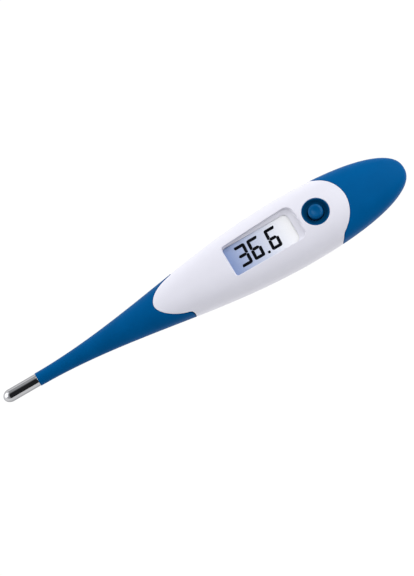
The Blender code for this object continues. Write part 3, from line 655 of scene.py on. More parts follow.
def make_looks():
    looks = {
        "blue": moulded("blue_elastomer", BLUE, 0.42, variation=0.10, depth=0.005 * MM, **SATIN),
        # the cap: the lighter copy of the blue, with painted light
        "cap": moulded("cap_blue_painted_light", CAP_BLUE_PAINTED_LIGHT, 0.38, variation=0.08, **SATIN),
        "navy": moulded("navy_elastomer", GROOVE_SHADE_BLUE, 0.5, **SATIN),
        "button": moulded("button_elastomer", BUTTON_BLUE, 0.38, **SATIN),
        "dome": moulded("button_dome_elastomer", BUTTON_BLUE, 0.20, **DOME_GLOSS),
        "white": moulded("white_abs", WHITE, 0.30, 0.25 * MM, 0.0015 * MM, variation=0.02, wear=0.02),
        "cream": moulded("cream_abs", (0.70, 0.69, 0.65), 0.45),
        "steel": metal("polished_steel", (0.68, 0.68, 0.70), 0.09, Specular_Tint=(0.45, 0.45, 0.47, 1.0)),
        "cell_steel": metal("brushed_steel", (0.60, 0.60, 0.61), 0.28),
        "brass": metal("brass_sheet", (0.72, 0.52, 0.22), 0.27),
        "copper": metal("copper_wire", (0.72, 0.33, 0.16), 0.3),
        "board": moulded("board_laminate", (0.02, 0.17, 0.07), 0.35, grain=0.3 * MM),
        "black": moulded("black_resin", (0.015, 0.015, 0.017), 0.35),
        "epoxy": moulded("epoxy_resin", (0.60, 0.48, 0.22), 0.25),
        "ceramic": moulded("chip_ceramic", (0.55, 0.42, 0.25), 0.4),
        "zebra": moulded("zebra_rubber", (0.80, 0.40, 0.36), 0.55),
        "seal": moulded("seal_rubber", (0.02, 0.02, 0.022), 0.5),
        "glass": moulded("display_glass", (0.55, 0.62, 0.66), 0.08, depth=0.001 * MM),
        "ink": moulded("display_segments", (0.001, 0.001, 0.003), 0.4, depth=0.001 * MM, variation=0.02,
                       Specular_IOR_Level=0.02),
        "foil": Look("display_ground", (0.27, 0.37, 0.66), 0.3),
        "window": Look("clear_window", (0.05, 0.055, 0.065), 0.05, Alpha=0.03, IOR=1.49,
                       Specular_IOR_Level=0.10),
        "floor": Look("studio_floor", (0.08, 0.08, 0.08), 0.7, **FLOOR_GLOW),
    }
    for name in ("blue", "cap"):
        looks[name].grain(7 * MM, 0.05 * MM, detail=1.0, strength=0.35)
    looks["white"].grain(9 * MM, 0.03 * MM, detail=0.0, strength=0.3)
    looks["steel"].worn_gloss(1.2 * MM, 0.03, stretch=(0.3, 1.0, 1.0))
    # Darker lengthwise streaks in the steel's colour: partly grinding marks, partly painted dark reflection
    # streaks
    looks["steel"].mottle(0.9 * MM, 0.42, detail=2.0, stretch=(0.02, 1.0, 1.0))
    looks["steel"].grain(0.12 * MM, 0.0012 * MM, stretch=(3.0, 0.25, 0.25))
    looks["cell_steel"].worn_gloss(1.0 * MM, 0.06).grain(0.1 * MM, 0.002 * MM, stretch=(0.2, 3.0, 1.0))
    looks["brass"].mottle(1.5 * MM, 0.15).worn_gloss(0.8 * MM, 0.07).grain(0.1 * MM, 0.002 * MM)
    looks["copper"].mottle(0.8 * MM, 0.2).grain(0.1 * MM, 0.002 * MM)
    looks["window"].mottle(5 * MM, 0.04).worn_gloss(2 * MM, 0.02).grain(4 * MM, 0.01 * MM, strength=0.3)
    looks["floor"].mottle(60 * MM, 0.01).grain(0.4 * MM, 0.01 * MM, strength=0.2)
    shade_display(looks["foil"])
    return looks


def shade_display(look):
    """The display's ground: blue-grey towards the tip, fading to nearly white towards the button; the fade is
    a painted reflection of light on the display.
    """
    along = add_node(look.tree, "ShaderNodeSeparateXYZ", "X", {"Vector": look.place})
    start, end = at(WINDOW_CENTRE - 11 * MM).x, at(WINDOW_CENTRE + 10 * MM).x
    # painted reflection: the ground turns nearly white towards the button
    look.tint(look.mapped(along, 0.0, 1.0, start, end), (0.95, 0.95, 0.98))
    look.grain(0.2 * MM, 0.001 * MM)


# ---- shells of the handle

STEM_START = FIRST_PIVOT + PIVOT_PITCH / 2  # where the bending lengths meet the collar
STEM_END = STEM_START - PIVOTS * PIVOT_PITCH  # and where they meet the root of the tip
HOUSING_SPAN = (51.5 * MM, 119 * MM)  # stations that hold the whole white part with its tongues
COLLAR_END = 63 * MM
CAP_SPAN = (110.5 * MM, 118.5 * MM)  # of its even rows; the others come closer towards the nose


def stations_between(start, end):
    return np.linspace(start, end, int((end - start) / ROW_PITCH) + 2)


def white_edge(p):
    return white_distance(p) - SEAM


def blue_edge(p):
    return -white_distance(p) - SEAM


def make_shells(looks):
    walls = [
        (white_edge, straight_wall(), EDGE),
        (pocket_distance, pocket_wall, POCKET_EDGE),
        (bore_distance, straight_wall(direction=(0, 0, -1), depth=0.6 * MM), EDGE),
    ]
    shell("housing_shell", stations_between(*HOUSING_SPAN), walls, looks["white"], "handle",
          ["housing"])

    blue_walls = [(blue_edge, straight_wall(), EDGE)]
    shell("collar_skin", stations_between(STEM_START, COLLAR_END), blue_walls, looks["blue"], "handle",
          ["flex_collar"])

    nose = CAP_SPAN[1] + (LENGTH - CAP_SPAN[1]) * np.sin(quarter(52))
    cap_stations = np.concatenate([stations_between(*CAP_SPAN)[:-1], nose])
    shell("cap_skin", cap_stations, blue_walls, looks["cap"], "cap", ["end_cap"])


# ---- tip, stem and leads

STEM_BORE = 0.6 * MM
FORM_LEAST = 1.8 * MM  # points of the stem further out than this lie on the outer form
SPIGOT_RADIUS = 1.35 * MM  # the stem's end inside the steel tip
SPIGOT_STATION = 9.0 * MM
LEAD_RADIUS = 0.2 * MM
LEAD_OFFSET = 0.27 * MM
TIP_WALL = 0.25 * MM
TIP_NOSE = 2.4 * MM  # length of its rounded end
TIP_RIM = 0.10 * MM


def form_turn(station, across, height):
    """The angle of a point on the outer form."""
    power = section_power(station) / 2
    return np.arctan2(signed_power(height / half_height(station), power),
                      signed_power(across / half_width(station), power))


def set_form_normals(obj):
    """Gives the points on the outer form its exact normals, so that neighbouring pieces shade as one."""
    mesh = obj.data
    normals = np.array([n.vector for n in mesh.corner_normals])
    points = np.array([mesh.vertices[loop.vertex_index].co for loop in mesh.loops])
    station, across, height = points[:, 0] - START_X, points[:, 1], points[:, 2] - MID_Z
    on_form = np.hypot(across, height) > FORM_LEAST
    for face in mesh.polygons:
        if abs(face.normal.x) > 0.9:
            on_form[list(face.loop_indices)] = False
    turn = form_turn(station, across, height)
    normals[on_form] = form_normal(station, turn)[on_form]
    mesh.normals_split_custom_set([tuple(n) for n in normals])


def lead(stations, side):
    """The straight run of one sensor wire in the stem's bore."""
    return [at(s, side * LEAD_OFFSET) for s in stations]


def add_tube(bm, points, count=12):
    """Adds a wire along a path of points, as a closed round tube."""
    rings = []
    for k, point in enumerate(points):
        ahead = (points[min(k + 1, len(points) - 1)] - points[max(k - 1, 0)]).normalized()
        side = ahead.cross(Vector((0, 0, 1))).normalized()
        up = side.cross(ahead)
        rings.append([point + LEAD_RADIUS * (cos(turn) * side + sin(turn) * up) for turn in full_turn(count)])
    add_rings(bm, rings)
    bmesh.ops.recalc_face_normals(bm, faces=bm.faces)


def smooth_path(points, count=6):
    """Points along a Catmull-Rom curve through the given points."""
    given = [points[0]] + points + [points[-1]]
    path = []
    for k in range(1, len(given) - 2):
        a, b, c, d = given[k - 1:k + 3]
        for t in np.linspace(0, 1, count, endpoint=False):
            path.append(0.5 * (2 * b + (c - a) * t + (2 * a - 5 * b + 4 * c - d) * t ** 2
                               + (3 * b - a - 3 * c + d) * t ** 3))
    return path + [points[-1]]


def make_stem(looks):
    """The soft stem and its wires as one length per pivot."""
    for k in range(PIVOTS):
        start, end = STEM_START - k * PIVOT_PITCH, STEM_START - (k + 1) * PIVOT_PITCH
        rows = np.linspace(start, end, 17)
        rings = [ring_of_form(s) for s in rows] + [round_ring(s, STEM_BORE) for s in rows[::-1]]
        replaced = [f"stem_link_{k}"] if k else []
        length = add_mesh(f"stem_length_{k + 1}", ring_loft(rings, hoop=True), looks["blue"],
                          replaced=replaced, sharp=60)
        set_form_normals(length)
        leads = bmesh.new()
        for side in (-1, 1):
            add_tube(leads, lead(np.linspace(start, end, 9), side))
        wires = add_mesh(f"sensor_wires_{k + 1}", leads, looks["copper"])
        for piece in (length, wires):
            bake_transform(piece)

    shoulder = TIP_END + SEAM
    rings = [ring_of_form(s) for s in np.linspace(STEM_END, shoulder + EDGE, 8)]
    rings += [ring_of_form(shoulder + EDGE * (1 - sin(t)), EDGE * (1 - cos(t))) for t in quarter(5)[1:]]
    rings += [round_ring(*row) for row in (
        (shoulder, SPIGOT_RADIUS + 0.1 * MM), (shoulder - 0.1 * MM, SPIGOT_RADIUS),
        (SPIGOT_STATION, SPIGOT_RADIUS), (SPIGOT_STATION, STEM_BORE), (shoulder, STEM_BORE),
        (STEM_END, STEM_BORE))]
    root = add_mesh("stem_root_of_tip", ring_loft(rings, hoop=True), looks["blue"], "probe",
                    ["stem_nose"], sharp=60)
    set_form_normals(root)


def make_lead_ends(looks):
    """The sensor wires from the stem to the board, and from the stem to the bead in the tip."""
    pad_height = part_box("circuit_board")[1].z - MID_Z + LEAD_RADIUS + 0.1 * MM
    bead_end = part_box("thermistor_bead")[1].x - START_X + 0.1 * MM
    root, near_tip = bmesh.new(), bmesh.new()
    for side in (-1, 1):
        route = lead((STEM_START, 57 * MM, 65 * MM), side)
        route += [at(67.6 * MM, side * 0.9 * MM, -0.2 * MM), at(69.5 * MM, side * 1.8 * MM, pad_height),
                  at(71.5 * MM, side * 2.0 * MM, pad_height)]
        add_tube(root, smooth_path(route))
        add_tube(near_tip, lead(np.linspace(STEM_END, bead_end, 12), side))
    add_mesh("sensor_wires_root", root, looks["copper"], "handle",
             ["sensor_lead_1", "sensor_lead_2"])
    add_mesh("sensor_wires_tip", near_tip, looks["copper"], "probe")


def make_tip(looks):
    """The drawn steel tip: a thin cup with a rounded nose and a slightly turned-in rim."""
    inside = TIP_RADIUS - TIP_WALL
    rows = [(0.0, 0.0)]
    rows += [(TIP_NOSE * (1 - cos(t)), TIP_RADIUS * sin(t)) for t in quarter(22)[1:]]
    rows += [(s, TIP_RADIUS) for s in np.linspace(TIP_NOSE, TIP_END - TIP_RIM, 18)[1:]]
    rows += [(TIP_END - TIP_RIM * (1 - sin(t)), TIP_RADIUS - TIP_RIM * (1 - cos(t))) for t in quarter(5)[1:]]
    rows += [(s, inside) for s in np.linspace(TIP_END, TIP_NOSE, 8)]
    rows += [(TIP_NOSE - (TIP_NOSE - TIP_WALL) * cos(t), inside * sin(t)) for t in quarter(14)[-2:0:-1]]
    rows.append((TIP_WALL, 0.0))
    cup = ring_loft([round_ring(station, radius, 128) for station, radius in rows], close_ends=False)
    add_mesh("steel_tip", cup, looks["steel"], "probe", ["probe_cap"])


# ---- display

CEILING = WINDOW_TOP - 0.09 * MM  # of the window's hollow, over the display's ground
GROUND_TOP = CEILING - 0.05 * MM
INK_LOW, INK_HIGH = GROUND_TOP + 0.003 * MM, GROUND_TOP + 0.03 * MM
GROUND_PLATE = (11.4 * MM, 5.15 * MM, 0.5 * MM)  # half sizes and corner radius
WINDOW_PLATE = (12.0 * MM, 5.55 * MM, 0.6 * MM)
WINDOW_HOLLOW = (11.45 * MM, 5.2 * MM, 0.52 * MM)
SEGMENT_STROKE = 0.96 * MM
SEGMENT_GAP = 0.04 * MM
SEGMENT_ROUNDING = 0.14 * MM
DIGIT_HEIGHT = 6.85 * MM
DIGIT_WIDTH = 3.5 * MM
DIGIT_SLANT = 0.06
DIGIT_SHIFT = 0.1 * MM  # of the whole number, across the thermometer
DIGITS = (("3", 83.1 * MM), ("6", 87.35 * MM), ("6", 93.3 * MM))
DOT = (90.4 * MM, 0.22 * MM - DIGIT_HEIGHT / 2)
DOT_HALF = 0.4 * MM
DOT_ROUNDING = 0.12 * MM
LIT = {"3": "abcdg", "6": "acdefg"}
FREE_ENDS = {"3": {"a": -1, "g": -1, "d": -1}, "6": {"a": 1}}  # bars with an end that meets no lit upright


def rounded_outline(half_x, half_y, corner, count=8):
    points = []
    for quadrant in range(4):
        centre_x = (half_x - corner) * (1 if quadrant in (0, 3) else -1)
        centre_y = (half_y - corner) * (1 if quadrant in (0, 1) else -1)
        for turn in quarter(count) + quadrant * pi / 2:
            points.append((centre_x + corner * cos(turn), centre_y + corner * sin(turn)))
    return points


def rounded_plate(size, low, high, edge, hollow=None):
    """A plate with rounded corners and a rounded upper edge, over the middle of the window.

    size is (half x, half y, corner radius), and hollow is the same of a hollow in its underside."""
    outlines = [(hollow, CEILING), (hollow, low)] if hollow else []
    outlines.append((size, low))
    for turn in quarter(4):
        inset = edge * (1 - cos(turn))
        outlines.append(([s - inset for s in size], high - edge + edge * sin(turn)))
    return ring_loft([[at(WINDOW_CENTRE + x, y, height) for x, y in rounded_outline(*outline)]
                      for outline, height in outlines])


def segment_outline(name, free):
    """A segment of a digit, around the digit's middle, as (x, y) points.

    Its ends are mitred, apart from the side given as free (-1 left, 1 right), where a bar ends blunt."""
    half_w, half_h, stroke, gap = DIGIT_WIDTH / 2, DIGIT_HEIGHT / 2, SEGMENT_STROKE, SEGMENT_GAP
    inner_x, inner_y = half_w - stroke, half_h - stroke
    mitre = stroke * 0.46

    def bar_end(side):
        """The end of the upper bar, from its upper corner to its lower one."""
        if side == free:
            return [(side * (half_w - 0.1 * MM), half_h), (side * half_w, half_h - 0.4 * stroke),
                    (side * (half_w - 0.3 * stroke), inner_y)]
        return [(side * (half_w - mitre - gap), half_h), (side * (half_w - 1.5 * gap), half_h - 0.55 * mitre),
                (side * (inner_x - gap), inner_y)]

    if name in "ad":
        outline = bar_end(1) + bar_end(-1)[::-1]
        return [(x, y if name == "a" else -y) for x, y in outline]
    if name == "g":
        left, right = [(inner_x if side != free else half_w - 0.65 * stroke) - gap for side in (-1, 1)]
        half = stroke / 2
        return [(-left, half), (right, half), (right + half, 0.0), (right, -half), (-left, -half),
                (-left - half, 0.0)]
    side = 1 if name in "bc" else -1
    flip = 1 if name in "bf" else -1
    outline = [(half_w, half_h - mitre - gap), (half_w, mitre * 0.4 + gap), (half_w - stroke / 2, gap),
               (inner_x, stroke / 2 + gap), (inner_x, inner_y - gap),
               (half_w - 0.55 * mitre, half_h - 1.5 * gap)]
    return [(side * x, flip * y) for x, y in outline]


def round_polygon(points, radius):
    """A polygon with its corners rounded."""
    rounded = []
    for k, corner in enumerate(points):
        corner = np.array(corner)
        sides = [np.array(points[k - 1]) - corner, np.array(points[(k + 1) % len(points)]) - corner]
        sizes = [np.linalg.norm(side) for side in sides]
        reach = min(radius, sizes[0] / 2.2, sizes[1] / 2.2)
        start, end = [corner + side / size * reach for side, size in zip(sides, sizes)]
        rounded += rounded_corner(start, corner, end, np.linspace(0, 1, 4))
    return rounded


def add_ink(bm, outline):
    """Adds a thin dark shape to the number on the display."""
    add_rings(bm, [[at(x, y + DIGIT_SHIFT, level) for x, y in outline] for level in (INK_LOW, INK_HIGH)])


def make_display(looks):
    ground = rounded_plate(GROUND_PLATE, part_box("lcd_polarizer")[0].z - MID_Z, GROUND_TOP, 0.03 * MM)
    add_mesh("display_ground", ground, looks["foil"], "handle", ["lcd_polarizer"])

    ink = bmesh.new()
    for digit, middle in DIGITS:
        for name in LIT[digit]:
            outline = round_polygon(segment_outline(name, FREE_ENDS[digit].get(name)), SEGMENT_ROUNDING)
            add_ink(ink, [(middle + x + DIGIT_SLANT * y, y) for x, y in outline])
    dot = round_polygon([(DOT_HALF * x, DOT_HALF * y) for x, y in ((-1, -1), (1, -1), (1, 1), (-1, 1))],
                        DOT_ROUNDING)
    along, across = DOT
    add_ink(ink, [(along + x + DIGIT_SLANT * across, y + across) for x, y in dot])
    bmesh.ops.recalc_face_normals(ink, faces=ink.faces)
    add_mesh("display_segments", ink, looks["ink"], "handle", smooth=False)

    window = rounded_plate(WINDOW_PLATE, window_low.z - MID_Z, WINDOW_TOP, 0.06 * MM, WINDOW_HOLLOW)
    add_mesh("window_pane", window, looks["window"], "handle", ["display_window"])


# ---- button

BUTTON_TURNS = 160
LIP_RADIUS = RIM_RADIUS - 0.30 * MM  # where the ring's rounded top ends and its dark funnel starts
RIM_SKIRT = 3.6 * MM
RIM_HOLE = 2.62 * MM
RIM_DROP = 0.05 * MM  # of the ring's edges below the white part's surface
RIM_BULGE = 0.09 * MM
RIM_UNDERSIDE, RIM_FLOOR, RIM_SHELF = 4.95 * MM, 5.2 * MM, 5.5 * MM
CROWN_RADIUS = DOME_RADIUS - 0.12 * MM
CROWN_SHOULDER = 0.75 * MM
CROWN_DISH = 0.12 * MM
CROWN_UNDERSIDE = 4.6 * MM
PLUNGER_RADIUS = 1.0 * MM


def make_button(looks):
    """A thin ring around a dark groove, and a raised dome in its middle."""

    def ring(radius, height=None, drop=0.0):
        """A circle around the button's axis, level or some way below the outer form."""
        points = []
        for turn in full_turn(BUTTON_TURNS):
            station, across = BUTTON_STATION + radius * cos(turn), radius * sin(turn)
            level = float(top_height(station, across)) - drop if height is None else height
            points.append(at(station, across, level))
        return points

    outer = RIM_RADIUS - 0.02 * MM
    middle, half = (outer + LIP_RADIUS) / 2, (outer - LIP_RADIUS) / 2
    rows = [ring(RIM_SKIRT, RIM_UNDERSIDE), ring(RIM_SKIRT, RIM_SHELF), ring(outer, drop=0.30 * MM),
            ring(outer, drop=RIM_DROP)]
    rows += [ring(middle + half * cos(angle), drop=RIM_DROP - RIM_BULGE * sin(angle))
             for angle in np.linspace(0, pi, 9)[1:-1]]
    for share in np.linspace(0, 1, 12):
        radius = LIP_RADIUS + (RIM_HOLE + 0.28 * MM - LIP_RADIUS) * share
        fall = smoothstep(share) ** 0.8
        rows.append([a.lerp(b, fall) for a, b in zip(ring(radius, drop=RIM_DROP), ring(radius, RIM_FLOOR))])
    rows += [ring(RIM_HOLE, RIM_FLOOR), ring(RIM_HOLE, RIM_UNDERSIDE)]
    rim = add_mesh("button_rim", ring_loft(rows, hoop=True), looks["button"], "handle",
                   ["button_ring"], sharp=50)
    # The funnel inside the ring's lip takes the darker blue, as painted shade of its recess
    rim.data.materials.append(looks["navy"].material)
    for face in rim.data.polygons:
        reach = hypot(face.center.x - START_X - BUTTON_STATION, face.center.y)
        face.material_index = 1 if reach < LIP_RADIUS + 0.06 * MM else 0

    crest = CROWN_RADIUS - CROWN_SHOULDER
    profile = [(crest * s, DOME_TOP - CROWN_DISH * (1 + cos(pi * s)) / 2) for s in np.linspace(0, 1, 12)]
    profile += [(crest + CROWN_SHOULDER * sin(angle), DOME_TOP - CROWN_SHOULDER * (1 - cos(angle)))
                for angle in quarter(14)[1:]]
    plunger_end = dome_low.z - MID_Z
    profile += [(CROWN_RADIUS, CROWN_UNDERSIDE), (PLUNGER_RADIUS, CROWN_UNDERSIDE),
                (PLUNGER_RADIUS, plunger_end), (0.0, plunger_end)]
    rings = upright_rings(BUTTON_STATION, profile, BUTTON_TURNS)
    add_mesh("button_dome", ring_loft(rings, close_ends=False), looks["dome"], "button",
             ["power_button"], sharp=50)


# ---- battery end

cell_low, cell_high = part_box("battery_cell")
CELL_STATION = (cell_low.x + cell_high.x) / 2 - START_X
CELL_RADIUS = (cell_high.x - cell_low.x) / 2
CELL_BASE, CELL_TOP = cell_low.z - MID_Z, cell_high.z - MID_Z
CELL_EDGE = 0.35 * MM

BULKHEAD = (110.9 * MM, 111.8 * MM)
BULKHEAD_TOP = 4.0 * MM
SPIGOT_INSET = 1.4 * MM  # of the board's trough, which plugs into the housing
TROUGH_START = 67 * MM
TROUGH_WALL = 0.8 * MM
NECK_INSET = 2.6 * MM
NECK_END = 128.6 * MM
NECK_ROUNDING = 0.3 * MM
GROOVE = (112.7 * MM, 114.3 * MM)
GROOVE_INSET = 3.5 * MM
GROOVE_EDGE = 0.12 * MM
SLOT_ROOM = 0.2 * MM  # around a contact strip
SEAL_RADIUS = 0.35 * MM
SEAL_INSET = 2.85 * MM
LINER_INSET = 1.4 * MM
LINER_WALL = 0.8 * MM
LINER_RIM = 0.2 * MM


def cut_rings(stations, inset, highest, count=96):
    """Sections of the outer form, cut off above a height."""
    fine = np.linspace(pi / 2, 5 * pi / 2, 2001)
    rings = []
    for station in stations:
        below = fine[form(station, fine, inset)[:, 2] < highest]
        if len(below) == len(fine):
            points = form(station, full_turn(count), inset)
        else:
            points = form(station, np.linspace(below[0], below[-1], count), inset)
            points[[0, -1], 2] = highest
        rings.append([at(*point) for point in points])
    return rings


def combined(first, steps):
    """The mesh left after a row of Boolean steps, with the helper objects removed."""
    base = add_object("carrier_base", mesh_from("carrier_base", first))
    helpers = [base]
    for operation, bm in steps:
        helpers.append(add_object("carrier_helper", mesh_from("carrier_helper", bm)))
        modifier = base.modifiers.new("step", "BOOLEAN")
        modifier.operation = operation
        modifier.solver = "EXACT"
        modifier.object = helpers[-1]
    bpy.context.view_layer.update()
    mesh = bpy.data.meshes.new_from_object(base.evaluated_get(bpy.context.evaluated_depsgraph_get()))
    for obj in helpers:
        bpy.data.objects.remove(obj, do_unlink=True)
    bm = bmesh.new()
    bm.from_mesh(mesh)
    bpy.data.meshes.remove(mesh)
    bmesh.ops.remove_doubles(bm, verts=bm.verts, dist=0.002 * MM)
    return bm


def contact_slot(node, end, room_across):
    """A hollow around a contact strip, from before the bulkhead to a station."""
    low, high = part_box(node)
    low = Vector((START_X + BULKHEAD[0] - 1 * MM, low.y - room_across, low.z - SLOT_ROOM))
    high = Vector((START_X + end, high.y + room_across, high.z + SLOT_ROOM))
    bm = bmesh.new()
    bmesh.ops.create_cube(bm, size=1.0)
    bmesh.ops.scale(bm, vec=high - low, verts=bm.verts)
    bmesh.ops.translate(bm, vec=(low + high) / 2, verts=bm.verts)
    return bm


def make_carrier(looks):
    """The board's trough, and the neck behind it with a seal groove and the battery bay."""
    board_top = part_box("circuit_board")[1].z - MID_Z
    trough = cut_rings(np.linspace(TROUGH_START, sum(BULKHEAD) / 2, 30), SPIGOT_INSET, board_top)
    hollow = cut_rings(np.linspace(TROUGH_START - 2 * MM, BULKHEAD[0] + 0.1 * MM, 30),
                       SPIGOT_INSET + TROUGH_WALL, THICKNESS)
    bulkhead = cut_rings(BULKHEAD, SPIGOT_INSET - 0.05 * MM, BULKHEAD_TOP)
    start, end = GROOVE
    chamfer = NECK_INSET + GROOVE_EDGE
    rows = [(BULKHEAD[0] + 0.2 * MM, NECK_INSET), (start - GROOVE_EDGE, NECK_INSET), (start, chamfer),
            (start, GROOVE_INSET), (end, GROOVE_INSET), (end, chamfer), (end + GROOVE_EDGE, NECK_INSET)]
    rows += [(s, NECK_INSET) for s in np.linspace(end, NECK_END - NECK_ROUNDING, 18)[1:]]
    rows += [(NECK_END - NECK_ROUNDING * (1 - sin(t)), NECK_INSET + NECK_ROUNDING * (1 - cos(t)))
             for t in quarter(4)[1:]]
    neck = [ring for station, inset in rows for ring in cut_rings([station], inset, THICKNESS)]
    bay_radius = CELL_RADIUS + 0.3 * MM
    bay = upright_rings(CELL_STATION, [(bay_radius, CELL_BASE - 0.5 * MM), (bay_radius, THICKNESS / 2)])
    bm = combined(ring_loft(trough), [
        ("DIFFERENCE", ring_loft(hollow)), ("UNION", ring_loft(bulkhead)), ("UNION", ring_loft(neck)),
        ("DIFFERENCE", ring_loft(bay)),
        ("DIFFERENCE", contact_slot("battery_contact_negative", CELL_STATION - 2 * MM, 0.3 * MM)),
        ("DIFFERENCE", contact_slot("battery_contact_positive", CELL_STATION, SLOT_ROOM)),
    ])
    add_mesh("battery_carrier", bm, looks["cream"], "handle", ["chassis"], sharp=32)


def make_battery(looks):
    """A button cell: a can with a rounded edge, and a lid set in it on a grommet."""
    step, dip = CELL_BASE + 0.4 * MM, CELL_TOP - 0.02 * MM
    profile = [(0.0, dip), (CELL_RADIUS * 0.72, dip), (CELL_RADIUS * 0.74, CELL_TOP - 0.05 * MM),
               (CELL_RADIUS * 0.76, dip), (CELL_RADIUS * 0.80, CELL_TOP)]
    profile += [(CELL_RADIUS - CELL_EDGE * (1 - sin(t)), CELL_TOP - CELL_EDGE * (1 - cos(t)))
                for t in quarter(8)]
    profile += [(CELL_RADIUS - inwards, height) for inwards, height in (
        (0.0, step + 0.1 * MM), (0.1 * MM, step), (0.75 * MM, step), (0.9 * MM, step - 0.05 * MM),
        (0.95 * MM, CELL_BASE + 0.06 * MM), (1.05 * MM, CELL_BASE))]
    profile.append((0.0, CELL_BASE))
    add_mesh("button_cell", ring_loft(upright_rings(CELL_STATION, profile, 112), close_ends=False),
             looks["cell_steel"], "handle", ["battery_cell"], sharp=35)


def make_seal(looks):
    """A round rubber ring in the neck's groove."""
    middle = np.array([sum(GROOVE) / 2, 0.0, 0.0])
    along = np.array([1.0, 0.0, 0.0])
    rings = []
    for point in form(middle[0], even_turns(128), SEAL_INSET):
        outward = (point - middle) / np.linalg.norm(point - middle)
        ring = [point + SEAL_RADIUS * (cos(t) * outward + sin(t) * along) for t in full_turn(16)]
        rings.append([at(*place) for place in ring])
    add_mesh("neck_seal", ring_loft(rings, hoop=True), looks["seal"], "handle", ["seal_ring"])


def make_liner(looks):
    """The hard shell inside the blue cap."""
    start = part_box("cap_liner")[0].x - START_X

    def wall(inset, side):
        """Rows of (station, inset) from a rounded rim to the nose: side is 1 outside, -1 inside."""
        reach = LENGTH - inset - 0.02 * MM - start
        rim = [(start + LINER_RIM * s, inset + LINER_RIM * side * r) for s, r in ((0, 1), (0.3, 0.3), (1, 0))]
        return rim + [(start + reach * sin(t), inset) for t in quarter(26)[1:]]

    rows = wall(LINER_INSET, 1) + wall(LINER_INSET + LINER_WALL, -1)[::-1]
    rings = [ring_of_form(station, inset, 112) for station, inset in rows]
    add_mesh("liner_shell", ring_loft(rings, hoop=True), looks["white"], "cap", ["cap_liner"],
             sharp=50)


# ---- pieces kept from the frame


def dress_frame_nodes(looks):
    """Materials for the nodes that show as they are."""
    wanted = {
        "black": ("thermistor_bead", "controller_blob", "chip_resistor"),
        "epoxy": ("tip_potting",),
        "glass": ("lcd_front_glass", "lcd_rear_glass"),
        "foil": ("lcd_reflector",),
        "cream": ("lcd_frame", "buzzer_ceramic"),
        "zebra": ("zebra_strip",),
        "board": ("circuit_board",),
        "cell_steel": ("quartz_crystal", "switch_dome"),
        "ceramic": ("chip_capacitor_1", "chip_capacitor_2"),
        "brass": ("buzzer_plate", "battery_contact_negative", "battery_contact_positive"),
        "copper": ("buzzer_lead_1", "buzzer_lead_2"),
    }
    for look, names in wanted.items():
        for name in names:
            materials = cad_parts[name].data.materials
            materials.clear()
            materials.append(looks[look].material)


# ---- studio

FLOOR_DROP = 24 * MM  # room below the thermometer for its stem to bend down
FLOOR_FLAT = 1.2  # radius in metres at which the floor starts to rise
FLOOR_RISE = 0.35
VIEW = Vector((-0.0435, -0.3093, 0.9500)).normalized()  # from the thermometer towards the camera
VIEW_ROLL = radians(30.10)  # how far the thermometer's X axis rises in view
CAMERA_DISTANCE = 1.6
CAMERA_LENS = 335.1
AIM_RIGHT, AIM_UP = 0.79 * MM, -1.44 * MM
KEY_POWER, LEFT_POWER = 13.2, 4.0
DIM_SIDE = Vector((0.0, -0.56, 0.83)).normalized()
DIM_REACH = Vector((0.38, 0.92, 0.92))  # how far the dim shape reaches from there along each axis
DIM_EDGE = (0.75, 1.25)
ROOM_DIM, ROOM_BRIGHT = (0.05, 0.05, 0.055, 1.0), (0.96, 0.98, 1.0, 1.0)
ROOM_STRENGTH = 0.44


def make_floor(looks):
    """A shallow dish of a floor: flat under the thermometer, rising far outside it."""
    profile = [(radius, cad_low.z - MID_Z - FLOOR_DROP + max(radius - FLOOR_FLAT, 0.0) ** 2 * FLOOR_RISE)
               for radius in (*np.linspace(0.01, 0.6, 14), *np.linspace(0.8, 3.0, 10))]
    bm = bmesh.new()
    rows = add_rings(bm, upright_rings(-START_X, profile), caps=False)
    middle = bm.faces.new(rows[0])
    bmesh.ops.recalc_face_normals(bm, faces=bm.faces)
    if middle.normal.z < 0:
        bmesh.ops.reverse_faces(bm, faces=bm.faces)
    add_mesh("studio_floor", bm, looks["floor"])


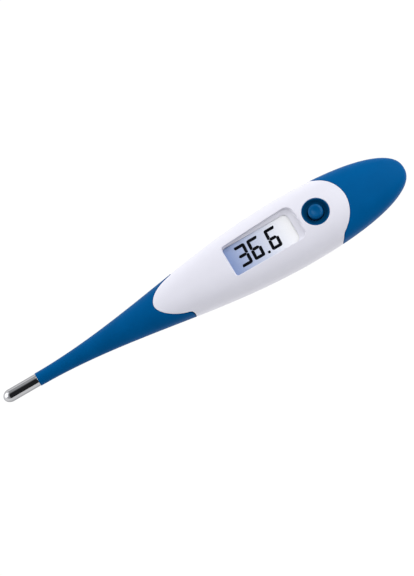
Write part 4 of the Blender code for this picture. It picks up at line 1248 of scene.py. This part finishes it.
def make_camera():
    along = (Vector((1, 0, 0)) - VIEW * VIEW.x).normalized()
    right = along * cos(VIEW_ROLL) - VIEW.cross(along) * sin(VIEW_ROLL)
    up = VIEW.cross(right)
    data = bpy.data.cameras.new("camera")
    data.lens = CAMERA_LENS
    data.sensor_width = 36
    data.clip_start = 0.01
    camera = add_object("camera", data)
    place = Vector((0, 0, MID_Z)) + right * AIM_RIGHT + up * AIM_UP + VIEW * CAMERA_DISTANCE
    camera.matrix_world = Matrix.Translation(place) @ Matrix((right, up, VIEW)).transposed().to_4x4()
    bpy.context.scene.camera = camera


def add_light(name, direction, distance, size, power):
    """A rectangular soft light that faces the thermometer from a direction."""
    toward = Vector(direction).normalized()
    data = bpy.data.lights.new(name, "AREA")
    data.shape = "RECTANGLE"
    data.size, data.size_y = size
    data.energy = power
    light = add_object(name, data)
    light.location = toward * distance
    light.rotation_euler = toward.to_track_quat("Z", "Y").to_euler()


def light_up_world(tree):
    """A bright room with a dim shape overhead, on the photographer's side."""
    direction = add_node(tree, "ShaderNodeTexCoord", "Generated", {})
    away = add_node(tree, "ShaderNodeVectorMath", "Vector", {0: direction, 1: DIM_SIDE}, operation="SUBTRACT")
    scaled = add_node(tree, "ShaderNodeVectorMath", "Vector", {0: away, 1: DIM_REACH}, operation="DIVIDE")
    length = add_node(tree, "ShaderNodeVectorMath", "Value", {0: scaled}, operation="LENGTH")
    share = add_node(tree, "ShaderNodeMapRange", "Result", {
        "Value": length, "From Min": DIM_EDGE[0], "From Max": DIM_EDGE[1]}, interpolation_type="SMOOTHSTEP")
    colour = add_node(tree, "ShaderNodeMix", "Result", {
        "Factor": share, "A": ROOM_DIM, "B": ROOM_BRIGHT}, data_type="RGBA")
    background = tree.nodes["Background"].inputs
    tree.links.new(colour, background["Color"])
    background["Strength"].default_value = ROOM_STRENGTH


def make_studio(looks):
    make_floor(looks)
    make_camera()
    add_light("key", (0.66, 0.20, 0.70), 1.2, (1.2, 1.2), KEY_POWER)
    add_light("left", (-0.75, 0.42, 0.52), 0.9, (1.2, 0.8), LEFT_POWER)
    world = bpy.data.worlds.new("studio")
    bpy.context.scene.world = world
    world.use_nodes = True
    light_up_world(world.node_tree)
    bpy.context.scene.view_settings.view_transform = "Standard"


def main():
    looks = make_looks()
    for make in (make_shells, make_stem, make_lead_ends, make_tip, make_display, make_button, make_carrier,
                 make_battery, make_seal, make_liner, dress_frame_nodes, make_studio):
        make(looks)


main()
